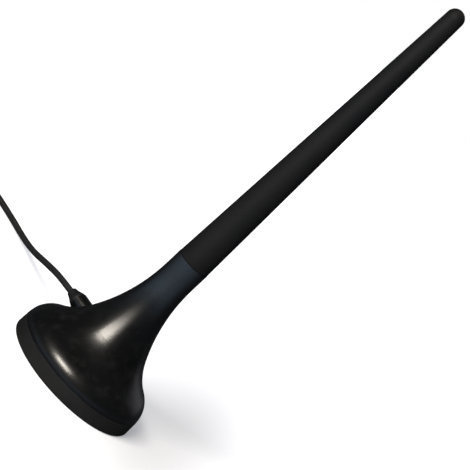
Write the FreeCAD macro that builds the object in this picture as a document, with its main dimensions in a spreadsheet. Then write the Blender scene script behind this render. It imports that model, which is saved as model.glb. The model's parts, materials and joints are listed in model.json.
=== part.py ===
import FreeCAD, Part
import math
import os
import re
import Sketcher

# Small magnetic-mount antenna: trumpet-shaped base, tapered whip, thin coaxial cord and screw-on plug.
# Millimetres and degrees. The origin is at the bottom centre of the base, +Z runs up along the whip.

# Driving dimensions: name, value, what it measures.
SIZES = [
    ("base_radius", 15.45, "largest radius of the glossy housing, at its rim"),
    ("rim_height", 3.2, "height of the seam between the foot ring and the housing"),
    ("shoulder_radius", 4.8, "rounding of the shoulder above the rim"),
    ("shoulder_angle", 56.8, "slope from the vertical where the shoulder turns into the flare"),
    ("flare_angle", 27.0, "slope from the vertical where the two arcs of the flare meet"),
    ("flare_top", 30.7, "height at which the flare has become the straight neck"),
    ("neck_radius", 3.75, "radius of the neck"),
    ("neck_top", 34.7, "height of the seam between the neck and the whip"),
    ("wall", 1.4, "wall of the moulded housing"),
    ("skirt_step", 0.75, "how far the skirt inside the foot ring is set back from the housing"),
    ("slip_gap", 0.05, "radial gap where one piece is slipped into another"),
    ("foot_spread", 0.15, "how far the foot ring's bottom stands out past the housing's rim"),
    ("foot_ledge", 0.05, "how far the foot ring's top stands out past the housing's rim"),
    ("foot_rounding", 0.4, "rounding of the foot ring's lower edge"),
    ("lip_thickness", 0.6, "thickness of the foot ring's inward lip and of the pad"),
    ("lip_width", 1.0, "how far the lip reaches under the magnet"),
    ("magnet_thickness", 3.0, "thickness of the ring magnet"),
    ("magnet_bore", 4.0, "radius of the hole in the magnet"),
    ("magnet_chamfer", 0.3, "chamfer on the magnet's edges"),
    ("plate_thickness", 0.6, "thickness of the ground plate"),
    ("plate_bore", 2.4, "radius of the hole in the ground plate"),
    ("lug_share", 0.408, "distance of the soldering lug from the axis, as a share of base_radius"),
    ("lug_width", 1.8, "width of the soldering lug"),
    ("lug_height", 2.2, "height of the soldering lug above the plate"),
    ("rib_thickness", 1.0, "thickness of each rib inside the housing"),
    ("rib_count", 6, "number of ribs inside the housing"),
    ("exit_azimuth", 155.0, "direction in which the cord leaves the base"),
    ("exit_height", 10.5, "height of the cord's axis where it leaves the base"),
    ("boss_radius", 1.9, "radius of the housing's boss round the strain relief"),
    ("boss_root_share", 0.531, "where the boss starts, as a share of base_radius"),
    ("boss_share", 0.738, "where the boss's outer face is, as a share of base_radius"),
    ("relief_bore", 1.35, "radius of the hole for the strain relief"),
    ("relief_length", 2.6, "length of the strain relief outside the boss"),
    ("relief_end_radius", 1.15, "radius of the strain relief's outer end"),
    ("relief_collar_radius", 1.75, "radius of the strain relief where it meets the boss"),
    ("barb_radius", 1.6, "radius of the strain relief's barb inside the housing"),
    ("barb_length", 1.1, "length of the barb"),
    ("barb_share", 0.375, "where the strain relief's inner end is, as a share of base_radius"),
    ("cord_radius", 0.685, "radius of the cord"),
    ("jacket_share", 0.35, "where the cord's jacket is stripped, as a share of base_radius"),
    ("lead_out", 3.1, "how far past the strain relief the cord starts to turn"),
    ("braid_length", 0.8, "length of bare braid left round the dielectric"),
    ("pigtail_radius", 0.35, "radius of the twisted braid"),
    ("pigtail_lean", 0.45, "sideways step of the twisted braid towards the lug"),
    ("dielectric_radius", 0.43, "radius of the cord's dielectric"),
    ("core_share", 0.11, "where the dielectric is stripped, as a share of base_radius"),
    ("wire_radius", 0.15, "radius of the cord's centre wire"),
    ("wire_overrun", 1.2, "how far the centre wire passes beyond the antenna's axis"),
    ("solder_pin_radius", 0.8, "radius of the whip stud's lower pin"),
    ("solder_pin_bottom", 9.0, "height of the lower end of that pin"),
    ("solder_hole", 0.2, "radius of the cross hole that takes the centre wire"),
    ("shank_radius", 1.6, "radius of the whip stud below its collar"),
    ("shank_bottom", 21.0, "height of the foot of that shank"),
    ("collar_bottom", 23.5, "height of the foot of the pressed collar"),
    ("press", 0.03, "radial interference of the pressed collar"),
    ("collar_groove_depth", 0.3, "depth of the grooves turned round the collar"),
    ("collar_groove_width", 0.6, "width of each of those grooves"),
    ("collar_groove_pitch", 2.4, "spacing of those grooves"),
    ("collar_groove_count", 3, "number of those grooves"),
    ("flange_radius", 3.0, "radius of the whip stud's locating flange"),
    ("flange_thickness", 0.6, "thickness of that flange"),
    ("grip_length", 3.6, "length of the stud's barrel inside the whip"),
    ("coil_radius", 1.8, "mean radius of the loading coil"),
    ("coil_wire_radius", 0.4, "radius of the loading coil's wire"),
    ("coil_pitch", 2.4, "pitch of the loading coil"),
    ("coil_turns", 5, "turns of the loading coil"),
    ("spigot_length", 2.4, "length of the two spigots that carry the loading coil"),
    ("ferrule_flange", 0.7, "thickness of the rod ferrule's flange"),
    ("ferrule_radius", 1.5, "radius of the rod ferrule's upper barrel"),
    ("ferrule_length", 3.0, "length of that barrel"),
    ("rod_radius", 0.6, "radius of the radiator rod"),
    ("rod_top", 102.4, "height of the rod's upper end"),
    ("whip_radius", 3.7, "radius of the whip at the seam"),
    ("tip_radius", 1.95, "radius of the whip's rounded tip"),
    ("whip_top", 107.4, "overall height"),
    ("whip_chamfer", 0.15, "chamfer of the whip's lower edge"),
    ("wound_radius", 13.4, "mean radius of the wound cord"),
    ("bundle_radius", 4.2, "radius of the wound cord's bundle"),
    ("wound_x", -66.0, "place of the wound cord, left of the base"),
    ("wound_y", 36.0, "place of the wound cord, behind the base"),
    ("tie_width", 2.5, "width of the strap round the bundle"),
    ("tie_thickness", 0.5, "thickness of that strap"),
    ("tie_head", 3.0, "length of the strap's head"),
    ("tie_head_height", 1.6, "height of the strap's head"),
    ("plug_x", -80.2, "place of the plug's axis"),
    ("plug_y", -6.6, "place of the plug's reference plane"),
    ("plug_z", 4.9, "height of the plug's axis"),
    ("nut_flats", 8.0, "width across the flats of the coupling nut"),
    ("nut_front", 3.4, "how far the nut reaches in front of the reference plane"),
    ("nut_rear", 4.5, "how far the nut reaches behind the reference plane"),
    ("nut_collar_radius", 3.9, "radius of the round collars at the nut's ends"),
    ("nut_collar_length", 0.7, "length of each of those collars"),
    ("thread_radius", 2.86, "inner radius of the nut's thread"),
    ("thread_end", 0.2, "where the thread ends behind the reference plane"),
    ("thread_chamfer", 0.3, "chamfer at the mouth of the thread"),
    ("relief_radius", 3.3, "radius of the relief behind the thread"),
    ("running_gap", 0.06, "radial running gap of the nut on the plug body"),
    ("end_play", 0.06, "gap on each side of the snap ring and behind the flange"),
    ("nose_radius", 2.295, "outer radius of the plug's nose"),
    ("nose_bore", 2.05, "inner radius of the plug's nose"),
    ("nose_length", 2.0, "length of the nose in front of the body's flange"),
    ("body_flange_radius", 3.1, "radius of the body's flange"),
    ("body_flange_length", 1.0, "length of that flange"),
    ("body_shank_radius", 2.5, "radius of the body where the nut turns on it"),
    ("body_shank_end", 5.0, "where that shank ends behind the reference plane"),
    ("body_barrel_radius", 3.1, "radius of the body's rear barrel"),
    ("body_flat", 2.75, "distance of the rear barrel's two flats from the axis"),
    ("body_barrel_end", 9.0, "where the rear barrel ends behind the reference plane"),
    ("crimp_tube_radius", 0.95, "outer radius of the tube that the braid is crimped on"),
    ("crimp_tube_end", 14.6, "where that tube ends behind the reference plane"),
    ("ring_thickness", 0.5, "thickness of the snap ring"),
    ("ring_start", 3.5, "where the snap ring starts behind the reference plane"),
    ("ring_inner", 2.2, "inner radius of the snap ring"),
    ("ring_outer", 2.92, "outer radius of the snap ring"),
    ("ring_slot", 1.2, "width of the gap in the snap ring"),
    ("gasket_thickness", 0.7, "thickness of the gasket"),
    ("dielectric_step", 2.8, "where the plug's dielectric steps down behind the reference plane"),
    ("dielectric_rear_radius", 1.7, "radius of the plug's dielectric behind that step"),
    ("dielectric_back", 7.0, "where the plug's dielectric ends behind the reference plane"),
    ("pin_radius", 0.46, "radius of the plug's centre pin"),
    ("pin_reach", 2.3, "how far the pin reaches in front of the reference plane"),
    ("pin_tip", 0.5, "length of the pin's tapered tip"),
    ("pin_tip_radius", 0.22, "radius of the end of that tip"),
    ("contact_radius", 0.635, "radius of the centre contact inside the dielectric"),
    ("contact_back", 8.4, "where the centre contact ends behind the reference plane"),
    ("contact_gap", 0.1, "radial gap between the contact and the body behind the dielectric"),
    ("crimp_radius", 1.5, "outer radius of the crimp ferrule"),
    ("crimp_wall", 0.3, "wall of the crimp ferrule"),
    ("crimp_flat", 1.38, "distance of the ferrule's crimped flats from the axis"),
    ("crimp_press_start", 10.0, "where the ferrule's pressed length starts behind the reference plane"),
    ("crimp_press_end", 14.2, "where the ferrule's pressed length ends behind the reference plane"),
    ("crimp_back", 16.2, "where the crimp ferrule ends behind the reference plane"),
    ("cord_stop", 15.0, "where the cord's jacket ends behind the reference plane"),
    ("sleeve_wall", 0.3, "wall of the heat-shrink sleeve"),
    ("sleeve_back", 21.6, "where the heat-shrink sleeve ends behind the reference plane"),
]

# Sizes that follow from the driving ones: name, formula.
DERIVED = [
    ("shoulder_end_radius", "base_radius - shoulder_radius * (1 - cos(shoulder_angle * 1 deg))"),
    ("shoulder_end_height", "rim_height + shoulder_radius * sin(shoulder_angle * 1 deg)"),
    ("flare_drop", "shoulder_end_radius - neck_radius"),
    ("flare_rise", "flare_top - shoulder_end_height"),
    ("sine_step", "sin(shoulder_angle * 1 deg) - sin(flare_angle * 1 deg)"),
    ("cosine_step", "cos(flare_angle * 1 deg) - cos(shoulder_angle * 1 deg)"),
    ("cosine_left", "1 - cos(flare_angle * 1 deg)"),
    ("flare_split", "sine_step * cosine_left - cosine_step * sin(flare_angle * 1 deg)"),
    ("low_radius", "(flare_rise * cosine_left - flare_drop * sin(flare_angle * 1 deg)) / flare_split"),
    ("high_radius", "(flare_drop * sine_step - flare_rise * cosine_step) / flare_split"),
    ("flare_mid_radius", "shoulder_end_radius - low_radius * cosine_step"),
    ("flare_mid_height", "shoulder_end_height + low_radius * sine_step"),
    ("foot_radius", "base_radius + foot_spread"),
    ("foot_top_radius", "base_radius + foot_ledge"),
    ("lug_reach", "base_radius * lug_share"),
    ("boss_reach", "base_radius * boss_share"),
    ("boss_root", "base_radius * boss_root_share"),
    ("relief_reach", "boss_reach + relief_length"),
    ("barb_end", "base_radius * barb_share"),
    ("jacket_end", "base_radius * jacket_share"),
    ("dielectric_end", "base_radius * core_share"),
    ("magnet_radius", "base_radius - wall - slip_gap"),
    ("lip_radius", "magnet_radius - lip_width"),
    ("magnet_top", "lip_thickness + magnet_thickness"),
    ("plate_top", "magnet_top + plate_thickness"),
    ("plate_drop", "plate_top - rim_height"),
    ("wall_arc", "shoulder_radius - wall"),
    ("plate_radius", "base_radius - shoulder_radius + sqrt(wall_arc^2 - plate_drop^2) - slip_gap"),
    ("neck_bore", "neck_radius - wall"),
    ("grip_top", "neck_top + grip_length"),
    ("spigot_radius", "coil_radius - coil_wire_radius - slip_gap"),
    ("coil_start", "grip_top + coil_wire_radius + slip_gap"),
    ("coil_rise", "coil_pitch * coil_turns"),
    ("ferrule_seat", "coil_start + coil_rise + coil_wire_radius + slip_gap"),
    ("ferrule_top", "ferrule_seat + ferrule_flange + ferrule_length"),
]

# Route of the cord from its straight start in the base to the wound cord, chosen by eye.
CORD_ROUTE = [
    (-20.8, 17.3, 7.2),
    (-24.4, 27.3, 3.8),
    (-28.3, 36.5, 1.3),
    (-34.5, 43.2, 0.7),
    (-42.6, 48.0, 0.7),
    (-52.2, 50.6, 0.7),
    (-61.8, 50.4, 1.2),
]

# Route of the cord from the wound cord to the plug, ahead of its straight end in the plug.
TAIL_ROUTE = [
    (-82.4, 39.4, 3.6),
    (-81.9, 29.3, 4.1),
    (-80.2, 19.1, 4.9),
]

BEND_SHARE = 0.45
TURN = 360
QUARTER = 90
HEXAGON = 6
WIRE_SIDES = 8
BY_PITCH_AND_HEIGHT = 0
SMALLEST_CUT = 1e-6
LEVEL = "rotation(0; 0; 0)"
TO_EXIT = "rotation(vector(0; 0; 1); exit_azimuth)"
ALONG_EXIT = f"rotation(exit_azimuth; {QUARTER}; 0)"

doc = FreeCAD.newDocument("magnetic_antenna")
sheet = doc.addObject("Spreadsheet::Sheet", "Sizes")
derived = doc.addObject("App::VarSet", "Derived")
PIECES = []


def fill_sheet():
    """Write the driving dimensions in the sheet and bind the derived ones to it."""
    for row, (name, value, meaning) in enumerate(SIZES, 1):
        sheet.set(f"A{row}", name)
        sheet.set(f"B{row}", str(value))
        sheet.set(f"C{row}", meaning)
        sheet.setAlias(f"B{row}", name)
    doc.recompute()
    for name, formula in DERIVED:
        derived.addProperty("App::PropertyFloat", name, "Derived")
        derived.setExpression(name, bound(formula))
        doc.recompute()


def bound(formula):
    """The formula with each size's name led by the object that holds it."""
    owners = {name: "Sizes" for name, _, _ in SIZES}
    owners.update({name: "Derived" for name, _ in DERIVED})
    return re.sub(r"[a-z_]+", lambda word: owner_path(owners, word.group()), formula)


def owner_path(owners, word):
    """The full path of a size, or the word itself where it is a function or a unit."""
    return f"{owners[word]}.{word}" if word in owners else word


def value(formula):
    """The number that a formula gives with the sheet as it stands."""
    return float(sheet.evalExpression(bound(formula)))


def lifted(height, turn=LEVEL):
    """A placement at a height on the Z axis, with a turn."""
    return f"placement(vector(0; 0; {height}); {turn})"


def new_body(label, place=None, turn=LEVEL):
    """A body that becomes one piece, with its place and turn bound to the sheet."""
    body = doc.addObject("PartDesign::Body", label)
    body.Label = label
    if place:
        body.setExpression("Placement", bound(f"placement(vector({place}); {turn})"))
    PIECES.append(body)
    return body


def origin_plane(body, role):
    """One of the body's own origin planes or axes."""
    return next(item for item in body.Origin.OriginFeatures if item.Role == role)


def new_sketch(body, name, role="XZ_Plane", shift=None):
    """A sketch on one of the body's origin planes, shifted by a bound placement if one is given."""
    sketch = body.newObject("Sketcher::SketchObject", name)
    sketch.AttachmentSupport = [(origin_plane(body, role), "")]
    sketch.MapMode = "FlatFace"
    if shift:
        sketch.setExpression("AttachmentOffset", bound(shift))
    doc.recompute()
    return sketch


def pin_point(sketch, edge, end, across, along):
    """Hold a sketch point at two bound distances from the sketch's origin."""
    for kind, axis, formula in (("DistanceX", -2, across), ("DistanceY", -1, along)):
        if formula == "0":
            sketch.addConstraint(Sketcher.Constraint("PointOnObject", edge, end, axis))
        else:
            index = sketch.addConstraint(Sketcher.Constraint(kind, edge, end, value(formula)))
            sketch.setExpression(f"Constraints[{index}]", bound(formula))


def arc_between(start, end, radius, side):
    """A circle's arc from start to end. Side +1 has its centre on the left of the way, -1 on the right."""
    middle = (start + end) * 0.5
    half = (end - start) * 0.5
    left = FreeCAD.Vector(-half.y, half.x, 0).normalize()
    centre = middle + left * (side * math.sqrt(max(radius ** 2 - half.Length ** 2, 0.0)))
    first, last = (start, end) if side > 0 else (end, start)
    angles = [math.atan2(point.y - centre.y, point.x - centre.x) for point in (first, last)]
    circle = Part.Circle(centre, FreeCAD.Vector(0, 0, 1), radius)
    return Part.ArcOfCircle(circle, angles[0], angles[1])


def draw(sketch, corners):
    """Draw a closed outline. A corner is (across, along), with (radius, side) added where an arc ends."""
    places = [FreeCAD.Vector(value(corner[0]), value(corner[1]), 0) for corner in corners]
    ends = []
    for number, corner in enumerate(corners):
        start, end = places[number - 1], places[number]
        if len(corner) == 2:
            edge = sketch.addGeometry(Part.LineSegment(start, end), False)
            ends.append((edge, 1, 2))
        else:
            radius, side = corner[2:]
            edge = sketch.addGeometry(arc_between(start, end, value(radius), side), False)
            ends.append((edge, 1, 2) if side > 0 else (edge, 2, 1))
    for number, corner in enumerate(corners):
        edge, _, last = ends[number]
        follower, first, _ = ends[(number + 1) % len(corners)]
        sketch.addConstraint(Sketcher.Constraint("Coincident", edge, last, follower, first))
        pin_point(sketch, edge, last, corner[0], corner[1])
        if len(corner) == 4:
            index = sketch.addConstraint(Sketcher.Constraint("Radius", edge, value(corner[2])))
            sketch.setExpression(f"Constraints[{index}]", bound(corner[2]))


def draw_circle(sketch, across, along, radius):
    """Draw a circle with its centre and radius bound to the sheet."""
    centre = FreeCAD.Vector(value(across), value(along), 0)
    edge = sketch.addGeometry(Part.Circle(centre, FreeCAD.Vector(0, 0, 1), value(radius)), False)
    pin_point(sketch, edge, 3, across, along)
    index = sketch.addConstraint(Sketcher.Constraint("Radius", edge, value(radius)))
    sketch.setExpression(f"Constraints[{index}]", bound(radius))


def box_outline(left, right, low, high):
    """The four corners of a rectangle."""
    return [(left, low), (right, low), (right, high), (left, high)]


def turned(body, name, corners, cut=False):
    """Turn an outline round the body's Z axis, to add or to cut."""
    sketch = new_sketch(body, f"{name}_outline")
    draw(sketch, corners)
    feature = body.newObject("PartDesign::Groove" if cut else "PartDesign::Revolution", name)
    feature.Profile = sketch
    feature.ReferenceAxis = (sketch, ["V_Axis"])
    feature.Angle = TURN
    doc.recompute()
    return feature


def raised(body, name, sketch, length, midplane=False, cut=False, backwards=False):
    """Pad a sketch, or pocket it, by a bound length."""
    feature = body.newObject("PartDesign::Pocket" if cut else "PartDesign::Pad", name)
    feature.Profile = sketch
    feature.setExpression("Length", bound(length))
    feature.Midplane = midplane
    feature.Reversed = backwards
    doc.recompute()
    return feature


def check_cut(body, before, name):
    """Stop where a cut took nothing away."""
    if body.Shape.Volume >= before - SMALLEST_CUT:
        raise RuntimeError(f"{name} cut nothing")


def trumpet(inset):
    """The flare's three arcs, moved inwards by an inset, from the top of the rim to the neck."""
    lean = f"{inset} * cos(shoulder_angle * 1 deg)"
    drop = f"{inset} * sin(shoulder_angle * 1 deg)"
    mid_lean = f"{inset} * cos(flare_angle * 1 deg)"
    mid_drop = f"{inset} * sin(flare_angle * 1 deg)"
    shoulder_end = (f"shoulder_end_radius - {lean}", f"shoulder_end_height - {drop}")
    middle = (f"flare_mid_radius - {mid_lean}", f"flare_mid_height - {mid_drop}")
    return [
        (*shoulder_end, f"shoulder_radius - {inset}", 1),
        (*middle, f"low_radius + {inset}", -1),
        (f"neck_radius - {inset}", "flare_top", f"high_radius + {inset}", -1),
    ]


def make_foot_ring():
    """Rubber ring round the bottom of the base, with a lip under the magnet's edge."""
    body = new_body("foot_ring")
    turned(body, "ring", [
        ("lip_radius", "0"),
        ("foot_radius - foot_rounding", "0"),
        ("foot_radius", "foot_rounding", "foot_rounding", 1),
        ("foot_top_radius", "rim_height"),
        ("base_radius - skirt_step + slip_gap", "rim_height"),
        ("base_radius - skirt_step + slip_gap", "lip_thickness"),
        ("lip_radius", "lip_thickness"),
    ])


def make_base_pad():
    """Thin pad under the magnet, inside the foot ring's lip."""
    body = new_body("base_pad")
    sketch = new_sketch(body, "pad_outline", "XY_Plane")
    draw_circle(sketch, "0", "0", "lip_radius - slip_gap")
    raised(body, "pad_disc", sketch, "lip_thickness")


def make_ring_magnet():
    """Ring magnet that lies on the lip and the pad."""
    body = new_body("ring_magnet")
    turned(body, "ring", [
        ("magnet_bore", "lip_thickness"),
        ("magnet_radius - magnet_chamfer", "lip_thickness"),
        ("magnet_radius", "lip_thickness + magnet_chamfer"),
        ("magnet_radius", "magnet_top - magnet_chamfer"),
        ("magnet_radius - magnet_chamfer", "magnet_top"),
        ("magnet_bore", "magnet_top"),
    ])


def make_ground_plate():
    """Tinned plate on the magnet, with a soldering lug bent up out of it on the cord's side."""
    body = new_body("ground_plate", "0; 0; 0", TO_EXIT)
    disc = new_sketch(body, "disc_outline", "XY_Plane", lifted("magnet_top"))
    draw_circle(disc, "0", "0", "plate_radius")
    draw_circle(disc, "0", "0", "plate_bore")
    raised(body, "disc", disc, "plate_thickness")
    lug = new_sketch(body, "lug_outline", "XY_Plane", lifted("plate_top"))
    draw(lug, box_outline("lug_reach - plate_thickness", "lug_reach", "-lug_width / 2", "lug_width / 2"))
    raised(body, "lug", lug, "lug_height")
    window = new_sketch(body, "window_outline", "XY_Plane", lifted("plate_top"))
    draw(window, box_outline("lug_reach", "lug_reach + lug_height", "-lug_width / 2", "lug_width / 2"))
    before = body.Shape.Volume
    raised(body, "window", window, "plate_thickness", cut=True)
    check_cut(body, before, "the lug's window")


def make_base_housing():
    """Moulded trumpet-shaped housing: one even wall, ribs on the ground plate and a boss for the cord."""
    body = new_body("base_housing")
    turned(body, "trumpet_form", [
        ("0", "lip_thickness"),
        ("base_radius - skirt_step", "lip_thickness"),
        ("base_radius - skirt_step", "rim_height"),
        ("base_radius", "rim_height"),
        *trumpet("0"),
        ("neck_radius", "neck_top"),
        ("0", "neck_top"),
    ])
    before = body.Shape.Volume
    turned(body, "cavity", [
        ("0", "lip_thickness"),
        ("base_radius - wall", "lip_thickness"),
        ("base_radius - wall", "rim_height"),
        *trumpet("wall"),
        ("neck_bore", "neck_top"),
        ("0", "neck_top"),
    ], cut=True)
    check_cut(body, before, "the housing's cavity")
    add_ribs(body)
    add_boss(body)


def add_ribs(body):
    """Ribs from the middle of the wall down to the ground plate, spread evenly round the axis."""
    reach = "base_radius - shoulder_radius + sqrt((shoulder_radius - wall / 2)^2 - plate_drop^2)"
    shoulder, middle, _ = trumpet("wall / 2")
    sketch = new_sketch(body, "rib_outline")
    draw(sketch, [(middle[0], "plate_top"), (reach, "plate_top"), shoulder, middle])
    rib = raised(body, "rib", sketch, "rib_thickness", midplane=True)
    ribs = body.newObject("PartDesign::PolarPattern", "ribs")
    ribs.Originals = [rib]
    ribs.Axis = (origin_plane(body, "Z_Axis"), [""])
    ribs.Angle = TURN
    ribs.setExpression("Occurrences", bound("rib_count"))
    body.Tip = ribs
    doc.recompute()


def add_boss(body):
    """Boss through the wall on the cord's side, with the hole for the strain relief."""
    east = "boss_root * cos(exit_azimuth * 1 deg)"
    north = "boss_root * sin(exit_azimuth * 1 deg)"
    place = f"placement(vector({east}; {north}; exit_height); {ALONG_EXIT})"
    boss = new_sketch(body, "boss_outline", "XY_Plane", place)
    draw_circle(boss, "0", "0", "boss_radius")
    raised(body, "boss", boss, "boss_reach - boss_root")
    hole = new_sketch(body, "hole_outline", "XY_Plane", lifted("exit_height", ALONG_EXIT))
    draw_circle(hole, "0", "0", "relief_bore")
    before = body.Shape.Volume
    raised(body, "relief_hole", hole, "relief_reach", cut=True, backwards=True)
    check_cut(body, before, "the strain relief's hole")


def cord_axis_body(label):
    """A body whose Z axis runs outwards along the cord's axis, from the antenna's axis."""
    return new_body(label, "0; 0; exit_height", ALONG_EXIT)


def make_strain_relief():
    """Tapered rubber sleeve pushed into the boss, with a barb inside the housing."""
    body = cord_axis_body("strain_relief")
    turned(body, "sleeve", [
        ("cord_radius + slip_gap", "barb_end"),
        ("relief_bore - slip_gap", "barb_end"),
        ("barb_radius", "barb_end + barb_length"),
        ("relief_bore - slip_gap", "barb_end + barb_length"),
        ("relief_bore - slip_gap", "boss_reach"),
        ("relief_collar_radius", "boss_reach"),
        ("relief_end_radius", "relief_reach"),
        ("cord_radius + slip_gap", "relief_reach"),
    ])


def make_cord_inside():
    """The stripped end of the cord inside the base: braid and its pigtail, dielectric and centre wire."""
    body = cord_axis_body("braid_pigtail")
    turned(body, "bare_braid", [
        ("dielectric_radius + slip_gap", "jacket_end - braid_length"),
        ("cord_radius", "jacket_end - braid_length"),
        ("cord_radius", "jacket_end"),
        ("dielectric_radius + slip_gap", "jacket_end"),
    ])
    add_pigtail(body)
    body = cord_axis_body("cord_dielectric")
    sketch = new_sketch(body, "core_outline", "XY_Plane", lifted("dielectric_end"))
    draw_circle(sketch, "0", "0", "dielectric_radius")
    raised(body, "core", sketch, "jacket_end - dielectric_end")
    body = cord_axis_body("centre_wire")
    sketch = new_sketch(body, "wire_outline", "XY_Plane", lifted("-wire_overrun"))
    draw_circle(sketch, "0", "0", "wire_radius")
    raised(body, "wire", sketch, "wire_overrun + dielectric_end")


def add_pigtail(body):
    """Twisted braid from the bare braid down to the inner face of the lug."""
    top = "(dielectric_radius + slip_gap + cord_radius) / 2"
    bottom = "exit_height - plate_top - slip_gap"
    inner = "jacket_end - braid_length / 2"
    outer = "lug_reach - plate_thickness - pigtail_radius - slip_gap"
    path = body.newObject("Sketcher::SketchObject", "pigtail_path")
    path.AttachmentSupport = [(origin_plane(body, "XZ_Plane"), "")]
    path.MapMode = "FlatFace"
    doc.recompute()
    first = FreeCAD.Vector(value(top), value(inner), 0)
    last = FreeCAD.Vector(value(bottom), value(outer), 0)
    line = path.addGeometry(Part.LineSegment(first, last), False)
    pin_point(path, line, 1, top, inner)
    pin_point(path, line, 2, bottom, outer)
    ring = new_sketch(body, "pigtail_ring", "YZ_Plane", f"placement(vector(0; {inner}; {top}); {LEVEL})")
    draw_circle(ring, "0", "0", "pigtail_radius")
    pipe = body.newObject("PartDesign::AdditivePipe", "pigtail")
    pipe.Profile = ring
    pipe.Spine = path
    doc.recompute()


def make_whip_stud():
    """Turned brass stud: solder pin, shank, grooved collar pressed in the neck, flange, barrel and spigot."""
    body = new_body("whip_stud")
    turned(body, "stud", [
        ("0", "solder_pin_bottom"),
        ("solder_pin_radius", "solder_pin_bottom"),
        ("solder_pin_radius", "shank_bottom"),
        ("shank_radius", "shank_bottom"),
        ("shank_radius", "collar_bottom"),
        ("neck_bore + press", "collar_bottom"),
        ("neck_bore + press", "neck_top"),
        ("flange_radius", "neck_top"),
        ("flange_radius", "neck_top + flange_thickness"),
        ("neck_bore - slip_gap", "neck_top + flange_thickness"),
        ("neck_bore - slip_gap", "grip_top"),
        ("spigot_radius", "grip_top"),
        ("spigot_radius", "grip_top + spigot_length"),
        ("0", "grip_top + spigot_length"),
    ])
    groove = new_sketch(body, "groove_outline")
    draw(groove, box_outline(
        "neck_bore - collar_groove_depth", "neck_bore + press + slip_gap",
        "collar_bottom + collar_groove_pitch", "collar_bottom + collar_groove_pitch + collar_groove_width"))
    cut = body.newObject("PartDesign::Groove", "collar_groove")
    cut.Profile = groove
    cut.ReferenceAxis = (groove, ["V_Axis"])
    cut.Angle = TURN
    before = body.Shape.Volume
    doc.recompute()
    check_cut(body, before, "the collar's groove")
    rows = body.newObject("PartDesign::LinearPattern", "collar_grooves")
    rows.Originals = [cut]
    rows.Direction = (origin_plane(body, "Z_Axis"), [""])
    rows.setExpression("Occurrences", bound("collar_groove_count"))
    rows.setExpression("Length", bound("(collar_groove_count - 1) * collar_groove_pitch"))
    body.Tip = rows
    doc.recompute()
    hole = new_sketch(body, "cross_outline", "XY_Plane", lifted("exit_height", ALONG_EXIT))
    draw_circle(hole, "0", "0", "solder_hole")
    before = body.Shape.Volume
    raised(body, "cross_hole", hole, "2 * (solder_pin_radius + slip_gap)", midplane=True, cut=True)
    check_cut(body, before, "the stud's cross hole")


def make_loading_coil():
    """Copper loading coil that stands on the stud and carries the rod's ferrule."""
    body = new_body("loading_coil")
    sketch = new_sketch(body, "wire_outline")
    step = TURN / WIRE_SIDES
    draw(sketch, [
        (f"coil_radius + coil_wire_radius * cos({step * (side + 0.5)} deg)",
         f"coil_start + coil_wire_radius * sin({step * (side + 0.5)} deg)")
        for side in range(WIRE_SIDES)])
    coil = body.newObject("PartDesign::AdditiveHelix", "winding")
    coil.Profile = sketch
    coil.ReferenceAxis = (sketch, ["V_Axis"])
    coil.Mode = BY_PITCH_AND_HEIGHT
    coil.setExpression("Pitch", bound("coil_pitch"))
    coil.setExpression("Height", bound("coil_rise"))
    doc.recompute()


def make_rod_ferrule():
    """Brass ferrule that joins the loading coil and the rod."""
    body = new_body("rod_ferrule")
    turned(body, "ferrule", [
        ("rod_radius", "ferrule_seat - spigot_length"),
        ("spigot_radius", "ferrule_seat - spigot_length"),
        ("spigot_radius", "ferrule_seat"),
        ("coil_radius + coil_wire_radius", "ferrule_seat"),
        ("coil_radius + coil_wire_radius", "ferrule_seat + ferrule_flange"),
        ("ferrule_radius", "ferrule_seat + ferrule_flange"),
        ("ferrule_radius", "ferrule_top"),
        ("rod_radius", "ferrule_top"),
    ])


def make_radiator_rod():
    """Straight copper-plated rod, the upper part of the radiator, with a rounded end."""
    body = new_body("radiator_rod")
    turned(body, "rod", [
        ("0", "ferrule_seat - spigot_length"),
        ("rod_radius", "ferrule_seat - spigot_length"),
        ("rod_radius", "rod_top - rod_radius"),
        ("0", "rod_top", "rod_radius", 1),
    ])


def make_whip_sheath():
    """Matte tapered cover of the whip, with a rounded tip and a stepped bore for what it holds."""
    body = new_body("whip_sheath")
    turned(body, "cover", [
        ("0", "neck_top"),
        ("whip_radius - whip_chamfer", "neck_top"),
        ("whip_radius", "neck_top + whip_chamfer"),
        ("tip_radius", "whip_top - tip_radius"),
        ("0", "whip_top", "tip_radius", 1),
    ])
    before = body.Shape.Volume
    turned(body, "bore", [
        ("0", "neck_top"),
        ("flange_radius + slip_gap", "neck_top"),
        ("flange_radius + slip_gap", "neck_top + flange_thickness + slip_gap"),
        ("neck_bore", "neck_top + flange_thickness + slip_gap"),
        ("neck_bore", "ferrule_seat + ferrule_flange + slip_gap"),
        ("ferrule_radius + slip_gap", "ferrule_seat + ferrule_flange + slip_gap"),
        ("ferrule_radius + slip_gap", "ferrule_top + slip_gap"),
        ("rod_radius + slip_gap", "ferrule_top + slip_gap"),
        ("rod_radius + slip_gap", "rod_top + slip_gap"),
        ("0", "rod_top + slip_gap"),
    ], cut=True)
    check_cut(body, before, "the whip's bore")


def coil_frame(label):
    """A body at the wound cord's centre, turned so that its XZ plane cuts the bundle where the strap sits."""
    return new_body(label, "wound_x; wound_y; bundle_radius", f"rotation(vector(0; 0; 1); -{QUARTER})")


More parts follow.
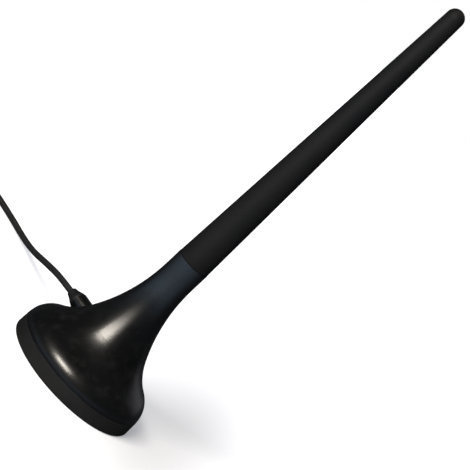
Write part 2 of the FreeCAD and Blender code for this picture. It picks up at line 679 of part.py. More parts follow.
def make_cord_coil():
    """The wound length of the cord as one closed ring, with the seat of its strap."""
    body = coil_frame("cord_coil")
    section = new_sketch(body, "bundle_section")
    draw_circle(section, "wound_radius", "0", "bundle_radius")
    bundle = body.newObject("PartDesign::Revolution", "bundle")
    bundle.Profile = section
    bundle.ReferenceAxis = (section, ["V_Axis"])
    bundle.Angle = TURN
    doc.recompute()
    seat = new_sketch(body, "seat_outline")
    draw_circle(seat, "wound_radius", "0", "bundle_radius + tie_thickness")
    draw_circle(seat, "wound_radius", "0", "bundle_radius - tie_thickness")
    before = body.Shape.Volume
    raised(body, "strap_seat", seat, "tie_width", midplane=True, cut=True)
    check_cut(body, before, "the strap's seat")


def make_coil_tie():
    """Strap round the wound cord, flush in its seat, with a small head on top."""
    body = coil_frame("coil_tie")
    band = new_sketch(body, "band_outline")
    draw_circle(band, "wound_radius", "0", "bundle_radius")
    draw_circle(band, "wound_radius", "0", "bundle_radius - tie_thickness")
    raised(body, "band", band, "tie_width", midplane=True)
    head = new_sketch(body, "head_outline")
    draw(head, box_outline(
        "wound_radius - tie_head / 2", "wound_radius + tie_head / 2",
        "bundle_radius - tie_thickness", "bundle_radius + tie_head_height"))
    raised(body, "head", head, "tie_width", midplane=True)


def plug_body_frame(label):
    """A body whose Z axis is the plug's axis, from its reference plane towards the mating side."""
    return new_body(label, "plug_x; plug_y; plug_z", f"rotation(vector(1; 0; 0); {QUARTER})")


def hexagon_corners(flat):
    """The corners of a hexagon whose flats lie at this distance from the centre."""
    step = TURN / HEXAGON
    corner = f"{flat} / cos({step / 2} deg)"
    angles = [step * (number + 0.5) for number in range(HEXAGON)]
    return [(f"{corner} * cos({angle} deg)", f"{corner} * sin({angle} deg)") for angle in angles]


def make_coupling_nut():
    """Hexagonal coupling nut with a thread bore, a relief and a groove for the snap ring."""
    body = plug_body_frame("coupling_nut")
    hexagon = new_sketch(body, "hexagon_outline", "XY_Plane", lifted("-nut_rear"))
    draw(hexagon, hexagon_corners("nut_flats / 2"))
    raised(body, "hexagon", hexagon, "nut_front + nut_rear")
    before = body.Shape.Volume
    for name, low, high in (
            ("front_collar", "nut_front - nut_collar_length", "nut_front"),
            ("rear_collar", "-nut_rear", "-nut_rear + nut_collar_length")):
        turned(body, name, box_outline("nut_collar_radius", "nut_flats", low, high), cut=True)
    turned(body, "thread_bore", [
        ("0", "-nut_rear"),
        ("body_shank_radius + running_gap", "-nut_rear"),
        ("body_shank_radius + running_gap", "-ring_start - ring_thickness - end_play"),
        ("ring_outer + running_gap", "-ring_start - ring_thickness - end_play"),
        ("ring_outer + running_gap", "-ring_start + end_play"),
        ("body_shank_radius + running_gap", "-ring_start + end_play"),
        ("body_shank_radius + running_gap", "-nose_length - body_flange_length - end_play"),
        ("relief_radius", "-nose_length - body_flange_length - end_play"),
        ("relief_radius", "-thread_end"),
        ("thread_radius", "-thread_end"),
        ("thread_radius", "nut_front - thread_chamfer"),
        ("thread_radius + thread_chamfer", "nut_front"),
        ("0", "nut_front"),
    ], cut=True)
    check_cut(body, before, "the nut's bore")


def make_plug_body():
    """Turned plug body: nose, flange, shank with the ring's groove, flatted barrel and crimp tube."""
    body = plug_body_frame("plug_body")
    turned(body, "body", [
        ("nose_bore", "0"),
        ("nose_bore", "-dielectric_step"),
        ("dielectric_rear_radius", "-dielectric_step"),
        ("dielectric_rear_radius", "-dielectric_back"),
        ("contact_radius + contact_gap", "-dielectric_back"),
        ("contact_radius + contact_gap", "-body_barrel_end"),
        ("dielectric_radius + slip_gap", "-body_barrel_end"),
        ("dielectric_radius + slip_gap", "-crimp_tube_end"),
        ("crimp_tube_radius", "-crimp_tube_end"),
        ("crimp_tube_radius", "-body_barrel_end"),
        ("body_barrel_radius", "-body_barrel_end"),
        ("body_barrel_radius", "-body_shank_end"),
        ("body_shank_radius", "-body_shank_end"),
        ("body_shank_radius", "-ring_start - ring_thickness - end_play / 2"),
        ("ring_inner - slip_gap", "-ring_start - ring_thickness - end_play / 2"),
        ("ring_inner - slip_gap", "-ring_start + end_play / 2"),
        ("body_shank_radius", "-ring_start + end_play / 2"),
        ("body_shank_radius", "-nose_length - body_flange_length"),
        ("body_flange_radius", "-nose_length - body_flange_length"),
        ("body_flange_radius", "-nose_length"),
        ("nose_radius", "-nose_length"),
        ("nose_radius", "0"),
    ])
    flats = new_sketch(body, "flats_outline", "XY_Plane", lifted("-body_barrel_end"))
    reach = "(body_barrel_radius + slip_gap)"
    draw(flats, box_outline(f"-{reach}", reach, "body_flat", reach))
    draw(flats, box_outline(f"-{reach}", reach, f"-{reach}", "-body_flat"))
    before = body.Shape.Volume
    raised(body, "flats", flats, "body_barrel_end - body_shank_end", cut=True, backwards=True)
    check_cut(body, before, "the barrel's flats")


def make_plug_insides():
    """White dielectric and gold-plated centre contact of the plug."""
    body = plug_body_frame("plug_dielectric")
    turned(body, "bead", [
        ("contact_radius", "-dielectric_back"),
        ("dielectric_rear_radius", "-dielectric_back"),
        ("dielectric_rear_radius", "-dielectric_step"),
        ("nose_bore", "-dielectric_step"),
        ("nose_bore", "0"),
        ("contact_radius", "0"),
    ])
    body = plug_body_frame("centre_contact")
    turned(body, "contact", [
        ("0", "-contact_back"),
        ("contact_radius", "-contact_back"),
        ("contact_radius", "0"),
        ("pin_radius", "0"),
        ("pin_radius", "pin_reach - pin_tip"),
        ("pin_tip_radius", "pin_reach"),
        ("0", "pin_reach"),
    ])


def make_snap_ring():
    """Split ring in the body's groove that keeps the nut on."""
    body = plug_body_frame("snap_ring")
    section = box_outline("ring_inner", "ring_outer", "-ring_start - ring_thickness", "-ring_start")
    turned(body, "ring", section)
    slot = new_sketch(body, "slot_outline", "XY_Plane")
    draw(slot, box_outline("0", "ring_outer + slip_gap", "-ring_slot / 2", "ring_slot / 2"))
    before = body.Shape.Volume
    raised(body, "slot", slot, "ring_start + ring_thickness + slip_gap", cut=True)
    check_cut(body, before, "the snap ring's slot")


def make_gasket():
    """Sealing gasket round the nose, against the body's flange."""
    body = plug_body_frame("gasket")
    turned(body, "washer", box_outline(
        "nose_radius + slip_gap", "body_flange_radius", "-nose_length", "-nose_length + gasket_thickness"))


def make_cord_in_plug():
    """The stripped end of the cord inside the plug: dielectric up to the contact, braid under the ferrule."""
    body = plug_body_frame("plug_core")
    sketch = new_sketch(body, "core_outline", "XY_Plane", lifted("-cord_stop"))
    draw_circle(sketch, "0", "0", "dielectric_radius")
    raised(body, "core", sketch, "cord_stop - contact_back")
    body = plug_body_frame("plug_braid")
    turned(body, "braid", [
        ("dielectric_radius + slip_gap", "-cord_stop"),
        ("cord_radius", "-cord_stop"),
        ("crimp_radius - crimp_wall", "-crimp_tube_end"),
        ("crimp_radius - crimp_wall", "-body_barrel_end - slip_gap"),
        ("crimp_tube_radius", "-body_barrel_end - slip_gap"),
        ("crimp_tube_radius", "-crimp_tube_end - slip_gap"),
        ("dielectric_radius + slip_gap", "-crimp_tube_end - slip_gap"),
    ])


def make_crimp_ferrule():
    """Ferrule over the crimp tube, pressed to a hexagon along its middle."""
    body = plug_body_frame("crimp_ferrule")
    turned(body, "tube", box_outline(
        "crimp_radius - crimp_wall", "crimp_radius", "-crimp_back", "-body_barrel_end"))
    press = new_sketch(body, "press_outline", "XY_Plane", lifted("-crimp_press_end"))
    draw_circle(press, "0", "0", "crimp_radius + crimp_flat")
    draw(press, hexagon_corners("crimp_flat"))
    before = body.Shape.Volume
    raised(body, "hexagon_press", press, "crimp_press_end - crimp_press_start", cut=True, backwards=True)
    check_cut(body, before, "the ferrule's press marks")


def make_heat_shrink():
    """Heat-shrink sleeve over the ferrule and the cord behind it."""
    body = plug_body_frame("heat_shrink")
    over_ferrule = "crimp_radius + slip_gap"
    over_cord = "cord_radius + slip_gap"
    turned(body, "sleeve", [
        (over_ferrule, "-body_barrel_end"),
        (over_ferrule, "-crimp_back"),
        (over_cord, "-crimp_back - crimp_radius"),
        (over_cord, "-sleeve_back"),
        (f"{over_cord} + sleeve_wall", "-sleeve_back"),
        (f"{over_cord} + sleeve_wall", "-crimp_back - crimp_radius"),
        (f"{over_ferrule} + sleeve_wall", "-crimp_back"),
        (f"{over_ferrule} + sleeve_wall", "-body_barrel_end"),
    ])


def rounded_route(points):
    """A wire of straight runs joined by tangent arcs, as large as the two runs beside each point allow."""
    edges = []
    start = points[0]
    for before, corner, after in zip(points, points[1:], points[2:]):
        back = (before - corner).normalize()
        ahead = (after - corner).normalize()
        turn = math.pi - back.getAngle(ahead)
        trim = BEND_SHARE * min((before - corner).Length, (after - corner).Length)
        radius = trim / math.tan(turn / 2)
        leave = corner + back * trim
        enter = corner + ahead * trim
        inward = (back + ahead).normalize()
        middle = corner + inward * (math.hypot(radius, trim) - radius)
        print(f"bend radius {radius:.1f} mm, turn {math.degrees(turn):.1f} degrees")
        edges.append(Part.LineSegment(start, leave).toShape())
        edges.append(Part.Arc(leave, middle, enter).toShape())
        start = enter
    edges.append(Part.LineSegment(start, points[-1]).toShape())
    return Part.Wire(edges)


def make_cord(label, points):
    """A plain tube of the cord's diameter along a route."""
    route = rounded_route(points)
    radius = value("cord_radius")
    ring = Part.Wire([Part.Circle(points[0], points[1] - points[0], radius).toShape()])
    tube = route.makePipeShell([ring], True, False)
    share = tube.Volume / (math.pi * radius ** 2 * route.Length)
    print(f"{label}: length {route.Length:.2f} mm, volume {share:.4f} of section times length")
    piece = doc.addObject("Part::Feature", label)
    piece.Shape = tube
    piece.Label = label
    piece.Placement = FreeCAD.Placement()
    PIECES.append(piece)


def make_cords():
    """The free stretch of the cord and its tail to the plug."""
    turn = FreeCAD.Rotation(FreeCAD.Vector(0, 0, 1), value("exit_azimuth"))
    outwards = turn.multVec(FreeCAD.Vector(1, 0, 0))
    height = FreeCAD.Vector(0, 0, value("exit_height"))
    start = outwards * value("jacket_end") + height
    bend = outwards * value("relief_reach + lead_out") + height
    make_cord("cord_run", [start, bend] + [FreeCAD.Vector(*point) for point in CORD_ROUTE])
    end = FreeCAD.Vector(value("plug_x"), value("plug_y + cord_stop"), value("plug_z"))
    make_cord("cord_tail", [FreeCAD.Vector(*point) for point in TAIL_ROUTE] + [end])


def check_and_export():
    """Stop at any failed object or shape, then write one file for each piece."""
    doc.recompute()
    for item in doc.Objects:
        if "Invalid" in item.State or "Error" in item.State:
            raise RuntimeError(f"{item.Label} failed: {item.State}")
    os.makedirs("parts", exist_ok=True)
    for piece in PIECES:
        shape = piece.Shape
        if shape.isNull() or not shape.isValid() or len(shape.Solids) != 1:
            raise RuntimeError(f"{piece.Label} has no single valid solid")
        shape.exportStep(f"parts/{piece.Label}.step")
        print(f"{piece.Label}: {shape.Volume:.2f} mm3")


fill_sheet()
make_foot_ring()
make_base_pad()
make_ring_magnet()
make_ground_plate()
make_base_housing()
make_strain_relief()
make_cord_inside()
make_whip_stud()
make_loading_coil()
make_rod_ferrule()
make_radiator_rod()
make_whip_sheath()
make_cords()
make_cord_coil()
make_coil_tie()
make_coupling_nut()
make_plug_body()
make_plug_insides()
make_snap_ring()
make_gasket()
make_cord_in_plug()
make_crimp_ferrule()
make_heat_shrink()
check_and_export()
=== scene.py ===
import math
import random

import bmesh
import bpy
from mathutils import Matrix, Vector
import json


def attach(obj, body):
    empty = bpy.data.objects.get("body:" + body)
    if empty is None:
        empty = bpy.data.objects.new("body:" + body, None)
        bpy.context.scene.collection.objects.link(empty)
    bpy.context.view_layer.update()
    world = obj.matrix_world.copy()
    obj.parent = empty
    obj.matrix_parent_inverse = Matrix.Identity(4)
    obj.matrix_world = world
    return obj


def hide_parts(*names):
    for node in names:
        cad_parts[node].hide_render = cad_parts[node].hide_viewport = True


# Small magnetic-mount antenna. Metres, +Z up, the origin at the bottom centre of the base.

MM = 0.001
PICTURE = 470
ANTENNA = "antenna"
NUT = "coupling nut"

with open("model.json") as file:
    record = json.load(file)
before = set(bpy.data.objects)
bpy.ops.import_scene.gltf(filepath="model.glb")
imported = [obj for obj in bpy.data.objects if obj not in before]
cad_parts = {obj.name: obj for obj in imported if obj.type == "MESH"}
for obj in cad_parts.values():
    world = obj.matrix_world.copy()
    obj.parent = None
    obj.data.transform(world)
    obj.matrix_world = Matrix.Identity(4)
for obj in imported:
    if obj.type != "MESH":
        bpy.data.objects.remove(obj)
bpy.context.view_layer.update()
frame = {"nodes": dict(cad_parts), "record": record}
nodes = frame["nodes"]


# The camera and the stage

EYE = Vector((0.0, -522.3, 172.2)) * MM
AIM = Vector((0.0, 0.0, 45.0)) * MM
LENS = 209.46
SENSOR = 36.0
ROLL = math.radians(46.87)
SHIFT = (4.14 / PICTURE, -6.63 / PICTURE)
NEAREST, FARTHEST = 0.01, 20.0


def make_camera():
    """The camera looks down a little at the upright antenna, rolled so that the whip leans right."""
    data = bpy.data.cameras.new("camera")
    data.lens = LENS
    data.sensor_width = SENSOR
    data.shift_x, data.shift_y = SHIFT
    data.clip_start, data.clip_end = NEAREST, FARTHEST
    camera = bpy.data.objects.new("camera", data)
    turn = (AIM - EYE).to_track_quat("-Z", "Y").to_matrix().to_4x4()
    camera.matrix_world = Matrix.Translation(EYE) @ turn @ Matrix.Rotation(ROLL, 4, "Z")
    bpy.context.scene.collection.objects.link(camera)
    bpy.context.scene.camera = camera


make_camera()
bpy.context.scene.view_settings.view_transform = "Standard"


# The cord: straight out of the base, down to the floor, along it, into the coil and on to the plug.
# Lengths are in millimetres, apart from the cord's own length, which is in metres.

CORD_THICKNESS = 1.37
EXIT_TURN = math.radians(155.0)
EXIT_HEIGHT = 10.5
JACKET_END = 5.4
FIRST_BEND = 17.1
ROUTE = [
    (-20.8, 17.3, 7.2),
    (-24.4, 27.3, 3.8),
    (-28.3, 36.5, 1.3),
    (-34.5, 43.2, 0.7),
    (-42.6, 48.0, 0.7),
    (-52.2, 50.6, 0.7),
]
TAIL = [
    (-81.9, 29.3, 4.1),
    (-80.2, 19.1, 4.9),
    (-80.2, 8.4, 4.9),
]
COIL_CENTRE = (-66.0, 36.0)
COIL_RADIUS = 13.4
COIL_START = math.radians(73.7)
COIL_STOP = math.radians(168.3)
POINTS_A_TURN = 16
FIRST_POINT = 2
LENGTHWISE_STEPS = 6
ROUND_STEPS = 4
FLOOR_GAP = 0.015
ROW_RISE = math.sqrt(3) / 2
SHIFT_FROM = 0.70
CROSSING_FROM = 0.62
CROSSING = [(1.37, 7.82), (3.05, 7.62), (3.72, 6.55), (4.12, 5.35), (3.43, 4.26)]
TIE_TURN = math.radians(270.0)
TIE_SPREAD = math.radians(26.0)
TIE_LIFT = 0.42
TIE_SQUEEZE = 0.05
LOOSENESS = 0.03
LOOSENESS_SEED = 7

# The turns lie in rows on each other: how far out of the middle each turn of a row is, in diameters.
COIL_ROWS = [
    (1.0, 0.0, -1.0),
    (-1.5, -0.5, 0.5, 1.5),
    (2.0, 1.0, 0.0, -1.0, -2.0),
    (-2.5, -1.5, -0.5, 0.5, 1.5),
    (2.0, 1.0, 0.0, -1.0, -2.0),
    (-1.5, -0.5, 0.5, 1.5),
    (1.0,),
]
LAST_TURN = (2.5, 3)


def on_cord_axis(distance):
    """A point on the straight line on which the cord leaves the base, in millimetres."""
    return (distance * math.cos(EXIT_TURN), distance * math.sin(EXIT_TURN), EXIT_HEIGHT)


def row_height(row):
    """How high the middle of a turn in this row lies."""
    return CORD_THICKNESS / 2 + FLOOR_GAP + row * ROW_RISE * CORD_THICKNESS


def coil_places():
    """Where each turn of the coil lies in its section: millimetres outwards and millimetres up."""
    rows = [(turns, row_height(row)) for row, turns in enumerate(COIL_ROWS)]
    rows.append((LAST_TURN[:1], row_height(LAST_TURN[1])))
    return [(out * CORD_THICKNESS, up) for turns, up in rows for out in turns]


def tied(out, up, hold):
    """A turn's place in the section, drawn together and lifted by the strap by this share."""
    middle = row_height(LAST_TURN[1])
    return out * (1 - hold * TIE_SQUEEZE), up + hold * (TIE_LIFT - TIE_SQUEEZE * (up - middle))


def crossing_place(share):
    """The way of the last crossing: from the top turn outwards over the rows below and in again."""
    at = share * (len(CROSSING) - 1)
    step = min(int(at), len(CROSSING) - 2)
    part = at - step
    return tuple(a + (b - a) * part for a, b in zip(CROSSING[step], CROSSING[step + 1]))


def smooth(value):
    """A share from 0 to 1 that starts and ends gently."""
    value = min(max(value, 0.0), 1.0)
    return value * value * (3 - 2 * value)


def coil_points():
    """Control points of the wound length, turn on turn, drawn together where the strap holds them."""
    places = coil_places()
    whole = len(places)
    turns = whole + (COIL_STOP - COIL_START) / (2 * math.pi)
    reach = 1 / math.cos(math.pi / POINTS_A_TURN)
    draw = random.Random(LOOSENESS_SEED)
    points = []
    for number in range(FIRST_POINT, int(turns * POINTS_A_TURN)):
        share = number / POINTS_A_TURN
        turn = int(share)
        part = share - turn
        here = places[min(turn, whole - 1)]
        after = places[min(turn + 1, whole - 1)]
        if turn == whole - 2:
            out, up = crossing_place(smooth((part - CROSSING_FROM) / (1 - CROSSING_FROM)))
        else:
            ease = smooth((part - SHIFT_FROM) / (1 - SHIFT_FROM))
            out, up = (a + (b - a) * ease for a, b in zip(here, after))
        angle = COIL_START + 2 * math.pi * share
        away = (angle - TIE_TURN + math.pi) % (2 * math.pi) - math.pi
        hold = smooth(1 - abs(away) / TIE_SPREAD)
        out, up = tied(out, up, hold)
        out += (1 - hold) * LOOSENESS * draw.uniform(-1, 1)
        radius = (COIL_RADIUS + out) * reach
        points.append((
            COIL_CENTRE[0] + radius * math.cos(angle),
            COIL_CENTRE[1] + radius * math.sin(angle),
            up,
        ))
    return points


def make_cord():
    """The whole cord as one curve: its free stretch, its coil and its tail to the plug."""
    points = [on_cord_axis(JACKET_END), on_cord_axis(FIRST_BEND)] + ROUTE + coil_points() + TAIL
    curve = bpy.data.curves.new("cord", "CURVE")
    curve.dimensions = "3D"
    spline = curve.splines.new("NURBS")
    spline.points.add(len(points) - 1)
    for point, place in zip(spline.points, points):
        point.co = (*(value * MM for value in place), 1.0)
        point.radius = CORD_THICKNESS / 2 * MM
    spline.order_u = 3
    spline.use_endpoint_u = True
    spline.resolution_u = LENGTHWISE_STEPS
    curve.bevel_depth = 1.0
    curve.bevel_resolution = ROUND_STEPS
    curve.use_fill_caps = True
    piece = bpy.data.objects.new("cord", curve)
    bpy.context.scene.collection.objects.link(piece)
    return piece


cord = make_cord()


# Nodes: shared helpers and the shader groups

FLOAT = "NodeSocketFloat"
VECTOR = "NodeSocketVector"
COLOUR = "NodeSocketColor"
GEOMETRY = "NodeSocketGeometry"


def add_node(tree, kind, inputs=(), **settings):
    """A new node with its settings, its sockets linked to other sockets or given plain values."""
    node = tree.nodes.new(kind)
    for name, value in settings.items():
        setattr(node, name, value)
    for socket, value in dict(inputs).items():
        if isinstance(value, bpy.types.NodeSocket):
            tree.links.new(value, node.inputs[socket])
        else:
            node.inputs[socket].default_value = value
    return node


def calculate(tree, operation, *values):
    """A number worked out from sockets and plain numbers."""
    return add_node(tree, "ShaderNodeMath", enumerate(values), operation=operation).outputs[0]


def stretch(tree, value, low, high, new_low=0.0, new_high=1.0, kind="SMOOTHSTEP"):
    """A value taken from one range to another, and held inside it."""
    ends = {"Value": value, "From Min": low, "From Max": high, "To Min": new_low, "To Max": new_high}
    return add_node(tree, "ShaderNodeMapRange", ends, interpolation_type=kind).outputs[0]


def blend_colours(tree, share, first, second):
    """The first colour where the share is 0, the second where it is 1."""
    mix = add_node(tree, "ShaderNodeMix", {0: share, 6: first, 7: second}, data_type="RGBA")
    return mix.outputs[2]


def noise(tree, vector, scale, detail=2.0, rough=0.5):
    """Cloudy noise of about 0 to 1, with this many blotches to the millimetre."""
    inputs = {"Vector": vector, "Scale": scale, "Detail": detail, "Roughness": rough}
    return add_node(tree, "ShaderNodeTexNoise", inputs).outputs[0]


def new_group(name, kind, inputs, outputs):
    """A node group with named sockets; gives the group, what goes in and where it comes out."""
    tree = bpy.data.node_groups.new(name, kind)
    for label, socket_type, value in inputs:
        socket = tree.interface.new_socket(name=label, in_out="INPUT", socket_type=socket_type)
        if value is not None:
            socket.default_value = value
    for label, socket_type in outputs:
        tree.interface.new_socket(name=label, in_out="OUTPUT", socket_type=socket_type)
    return tree, tree.nodes.new("NodeGroupInput").outputs, tree.nodes.new("NodeGroupOutput").inputs


def use_group(tree, group, **values):
    """Places a group in a material, with its values named as its sockets are, with _ for a space."""
    node = tree.nodes.new("ShaderNodeGroup")
    node.node_tree = group
    for name, value in values.items():
        socket = node.inputs[name.replace("_", " ").title()]
        if isinstance(value, bpy.types.NodeSocket):
            tree.links.new(value, socket)
        else:
            socket.default_value = value
    return node.outputs


def make_surface_grain():
    """Fine grain of a moulded or drawn surface, and slow mottling of its tone."""
    tree, given, result = new_group("surface_grain", "ShaderNodeTree", [
        ("Vector", VECTOR, None), ("Grain Size", FLOAT, 0.2), ("Mottle Size", FLOAT, 4.0),
    ], [("Height", FLOAT), ("Mottle", FLOAT)])
    fine = noise(tree, given["Vector"], calculate(tree, "DIVIDE", 1.0, given["Grain Size"]), 3.0, 0.6)
    slow = noise(tree, given["Vector"], calculate(tree, "DIVIDE", 1.0, given["Mottle Size"]))
    tree.links.new(fine, result["Height"])
    tree.links.new(stretch(tree, slow, 0.3, 0.7), result["Mottle"])
    return tree


def make_scuff_marks():
    """Short fine scratches that run two ways and are gathered in patches."""
    tree, given, result = new_group("scuff_marks", "ShaderNodeTree", [
        ("Vector", VECTOR, None), ("Length", FLOAT, 3.0), ("Amount", FLOAT, 0.3),
    ], [("Mask", FLOAT)])
    across = calculate(tree, "DIVIDE", 30.0, given["Length"])
    marks = []
    for lean, turn in ((0.35, 0.8), (-0.5, 2.3)):
        laid = add_node(tree, "ShaderNodeMapping", {
            "Vector": given["Vector"], "Rotation": (lean, turn / 2, turn), "Scale": (1.0, 1.0, 0.04),
        }).outputs[0]
        marks.append(stretch(tree, noise(tree, laid, across, 1.0), 0.68, 0.76))
    patches = stretch(tree, noise(tree, given["Vector"], 0.16), 0.45, 0.65)
    both = calculate(tree, "MULTIPLY", calculate(tree, "MAXIMUM", *marks), patches)
    tree.links.new(calculate(tree, "MULTIPLY", both, given["Amount"]), result["Mask"])
    return tree


def make_settled_dust():
    """Sparse specks and a faint film of dust on what faces up."""
    tree, given, result = new_group("settled_dust", "ShaderNodeTree", [
        ("Vector", VECTOR, None), ("Speck Spacing", FLOAT, 0.8), ("Amount", FLOAT, 0.2),
    ], [("Mask", FLOAT)])
    normal = add_node(tree, "ShaderNodeNewGeometry").outputs["Normal"]
    up = stretch(tree, add_node(tree, "ShaderNodeSeparateXYZ", {0: normal}).outputs[2], 0.0, 0.8)
    cells = add_node(tree, "ShaderNodeTexVoronoi", {
        "Vector": given["Vector"], "Scale": calculate(tree, "DIVIDE", 1.0, given["Speck Spacing"]),
    })
    dot = stretch(tree, cells.outputs["Distance"], 0.10, 0.05)
    chosen = add_node(tree, "ShaderNodeSeparateColor", {0: cells.outputs["Color"]}).outputs[0]
    specks = calculate(tree, "MULTIPLY", dot, stretch(tree, chosen, 0.80, 0.95))
    film = stretch(tree, noise(tree, given["Vector"], 0.5, 4.0), 0.45, 0.8, 0.0, 0.25)
    all_dust = calculate(tree, "MULTIPLY", calculate(tree, "MAXIMUM", specks, film), up)
    tree.links.new(calculate(tree, "MULTIPLY", all_dust, given["Amount"]), result["Mask"])
    return tree


def make_edge_wear():
    """Where handling has rubbed the edges, broken up by noise."""
    tree, given, result = new_group("edge_wear", "ShaderNodeTree", [
        ("Vector", VECTOR, None), ("Width", FLOAT, 0.0002), ("Amount", FLOAT, 0.5),
    ], [("Mask", FLOAT)])
    rounded = add_node(tree, "ShaderNodeBevel", {"Radius": given["Width"]}, samples=4).outputs[0]
    normal = add_node(tree, "ShaderNodeNewGeometry").outputs["Normal"]
    same = add_node(tree, "ShaderNodeVectorMath", {0: rounded, 1: normal}, operation="DOT_PRODUCT")
    edge = stretch(tree, same.outputs["Value"], 0.995, 0.90)
    broken = stretch(tree, noise(tree, given["Vector"], 2.2, 3.0, 0.6), 0.40, 0.62)
    tree.links.new(
        calculate(tree, "MULTIPLY", calculate(tree, "MULTIPLY", edge, broken), given["Amount"]),
        result["Mask"])
    return tree


def make_turning_marks():
    """Fine rings that a lathe tool leaves, by the distance along the axis in millimetres."""
    tree, given, result = new_group("turning_marks", "ShaderNodeTree", [
        ("Along", FLOAT, 0.0), ("Spacing", FLOAT, 0.06),
    ], [("Height", FLOAT), ("Shade", FLOAT)])
    steps = calculate(tree, "DIVIDE", given["Along"], given["Spacing"])
    for label, pace, detail in (("Height", 1.0, 2.0), ("Shade", 0.17, 3.0)):
        rings = add_node(tree, "ShaderNodeTexNoise", {
            "W": calculate(tree, "MULTIPLY", steps, pace), "Scale": 1.0, "Detail": detail,
        }, noise_dimensions="1D")
        tree.links.new(rings.outputs[0], result[label])
    return tree


def make_braid_weave():
    """Crossing strands of a round braid, by the angle round it and the distance along it."""
    tree, given, result = new_group("braid_weave", "ShaderNodeTree", [
        ("Around", FLOAT, 0.0), ("Along", FLOAT, 0.0), ("Strands", FLOAT, 12.0), ("Lay", FLOAT, 0.5),
    ], [("Height", FLOAT)])
    round_it = calculate(tree, "MULTIPLY", given["Around"], given["Strands"])
    half_turns = calculate(tree, "MULTIPLY", given["Along"], math.pi)
    along_it = calculate(tree, "DIVIDE", half_turns, given["Lay"])
    ways = [
        calculate(tree, "SINE", calculate(tree, operation, round_it, along_it))
        for operation in ("ADD", "SUBTRACT")
    ]
    over = stretch(tree, calculate(tree, "MULTIPLY", *ways), -0.05, 0.05)
    under = calculate(tree, "SUBTRACT", 1.0, over)
    heights = []
    for way, top in zip(ways, (over, under)):
        ridge = calculate(tree, "ABSOLUTE", way)
        lift = stretch(tree, top, 0, 1, 0.45, 1.0)
        heights.append(calculate(tree, "MULTIPLY", ridge, lift))
    tree.links.new(calculate(tree, "MAXIMUM", *heights), result["Height"])
    return tree


def make_metal_tone():
    """A metal's colour with patches of tarnish, and where they are."""
    tree, given, result = new_group("metal_tone", "ShaderNodeTree", [
        ("Vector", VECTOR, None), ("Metal", COLOUR, (0.8, 0.8, 0.8, 1)),
        ("Tarnish", COLOUR, (0.4, 0.4, 0.4, 1)), ("Patch Size", FLOAT, 1.5), ("Amount", FLOAT, 0.4),
    ], [("Colour", COLOUR), ("Mask", FLOAT)])
    scale = calculate(tree, "DIVIDE", 1.0, given["Patch Size"])
    patches = noise(tree, given["Vector"], scale, 4.0, 0.6)
    mask = calculate(tree, "MULTIPLY", stretch(tree, patches, 0.42, 0.72), given["Amount"])
    tree.links.new(mask, result["Mask"])
    tree.links.new(blend_colours(tree, mask, given["Metal"], given["Tarnish"]), result["Colour"])
    return tree


GRAIN = make_surface_grain()
SCUFFS = make_scuff_marks()
DUST = make_settled_dust()
WEAR = make_edge_wear()
TURNED = make_turning_marks()
WEAVE = make_braid_weave()
TONE = make_metal_tone()


# Materials

DUST_COLOUR = (0.30, 0.29, 0.27, 1)
SCRATCH_DEPTH = -0.5
SPECK_SPACING = 0.9
METAL_WEAR_WIDTH = 0.1
GLOSS_SPREAD = 0.07


def new_material(name, **fixed):
    """A material with constants on its shader, and the place on the piece in millimetres."""
    material = bpy.data.materials.new(name)
    material.use_nodes = True
    tree = material.node_tree
    shader = tree.nodes["Principled BSDF"]
    for label, value in fixed.items():
        shader.inputs[label.replace("_", " ")].default_value = value
    place = add_node(tree, "ShaderNodeTexCoord").outputs["Object"]
    size = {"Vector": place, "Scale": 1 / MM}
    scaled = add_node(tree, "ShaderNodeVectorMath", size, operation="SCALE")
    return material, tree, shader.inputs, scaled.outputs[0]


def tint(colour, share):
    """A colour made darker or lighter by a share."""
    return (*(channel * share for channel in colour), 1)


def moulded(name, colour, worn, grain, bump, roughness, spread=0.04, mottle=5.0, specular=0.5,
            wear=0.3, wear_width=0.15, scuffs=0.3, dust=0.2):
    """A plastic or rubber: mottled tone, grain, scuffs, rubbed edges and a little dust."""
    material, tree, shader, place = new_material(name, **{"Specular IOR Level": specular})
    surface = use_group(tree, GRAIN, vector=place, grain_size=grain, mottle_size=mottle)
    scratched = use_group(tree, SCUFFS, vector=place, length=3.0, amount=scuffs)["Mask"]
    rubbed = use_group(tree, WEAR, vector=place, width=wear_width * MM, amount=wear)["Mask"]
    dusty = use_group(tree, DUST, vector=place, speck_spacing=SPECK_SPACING, amount=dust)["Mask"]
    tone = blend_colours(tree, surface["Mottle"], tint(colour, 0.85), tint(colour, 1.15))
    tone = blend_colours(tree, rubbed, tone, (*worn, 1))
    tree.links.new(blend_colours(tree, dusty, tone, DUST_COLOUR), shader["Base Color"])
    gloss = stretch(tree, surface["Mottle"], 0, 1, roughness - spread, roughness + spread, "LINEAR")
    for mask, dulling in ((scratched, 0.25), (rubbed, 0.2), (dusty, 0.4)):
        gloss = calculate(tree, "MULTIPLY_ADD", mask, dulling, gloss)
    tree.links.new(calculate(tree, "MINIMUM", gloss, 1.0), shader["Roughness"])
    height = calculate(tree, "MULTIPLY_ADD", scratched, SCRATCH_DEPTH, surface["Height"])
    bumped = add_node(tree, "ShaderNodeBump", {"Height": height, "Distance": bump * MM})
    tree.links.new(bumped.outputs[0], shader["Normal"])
    return material


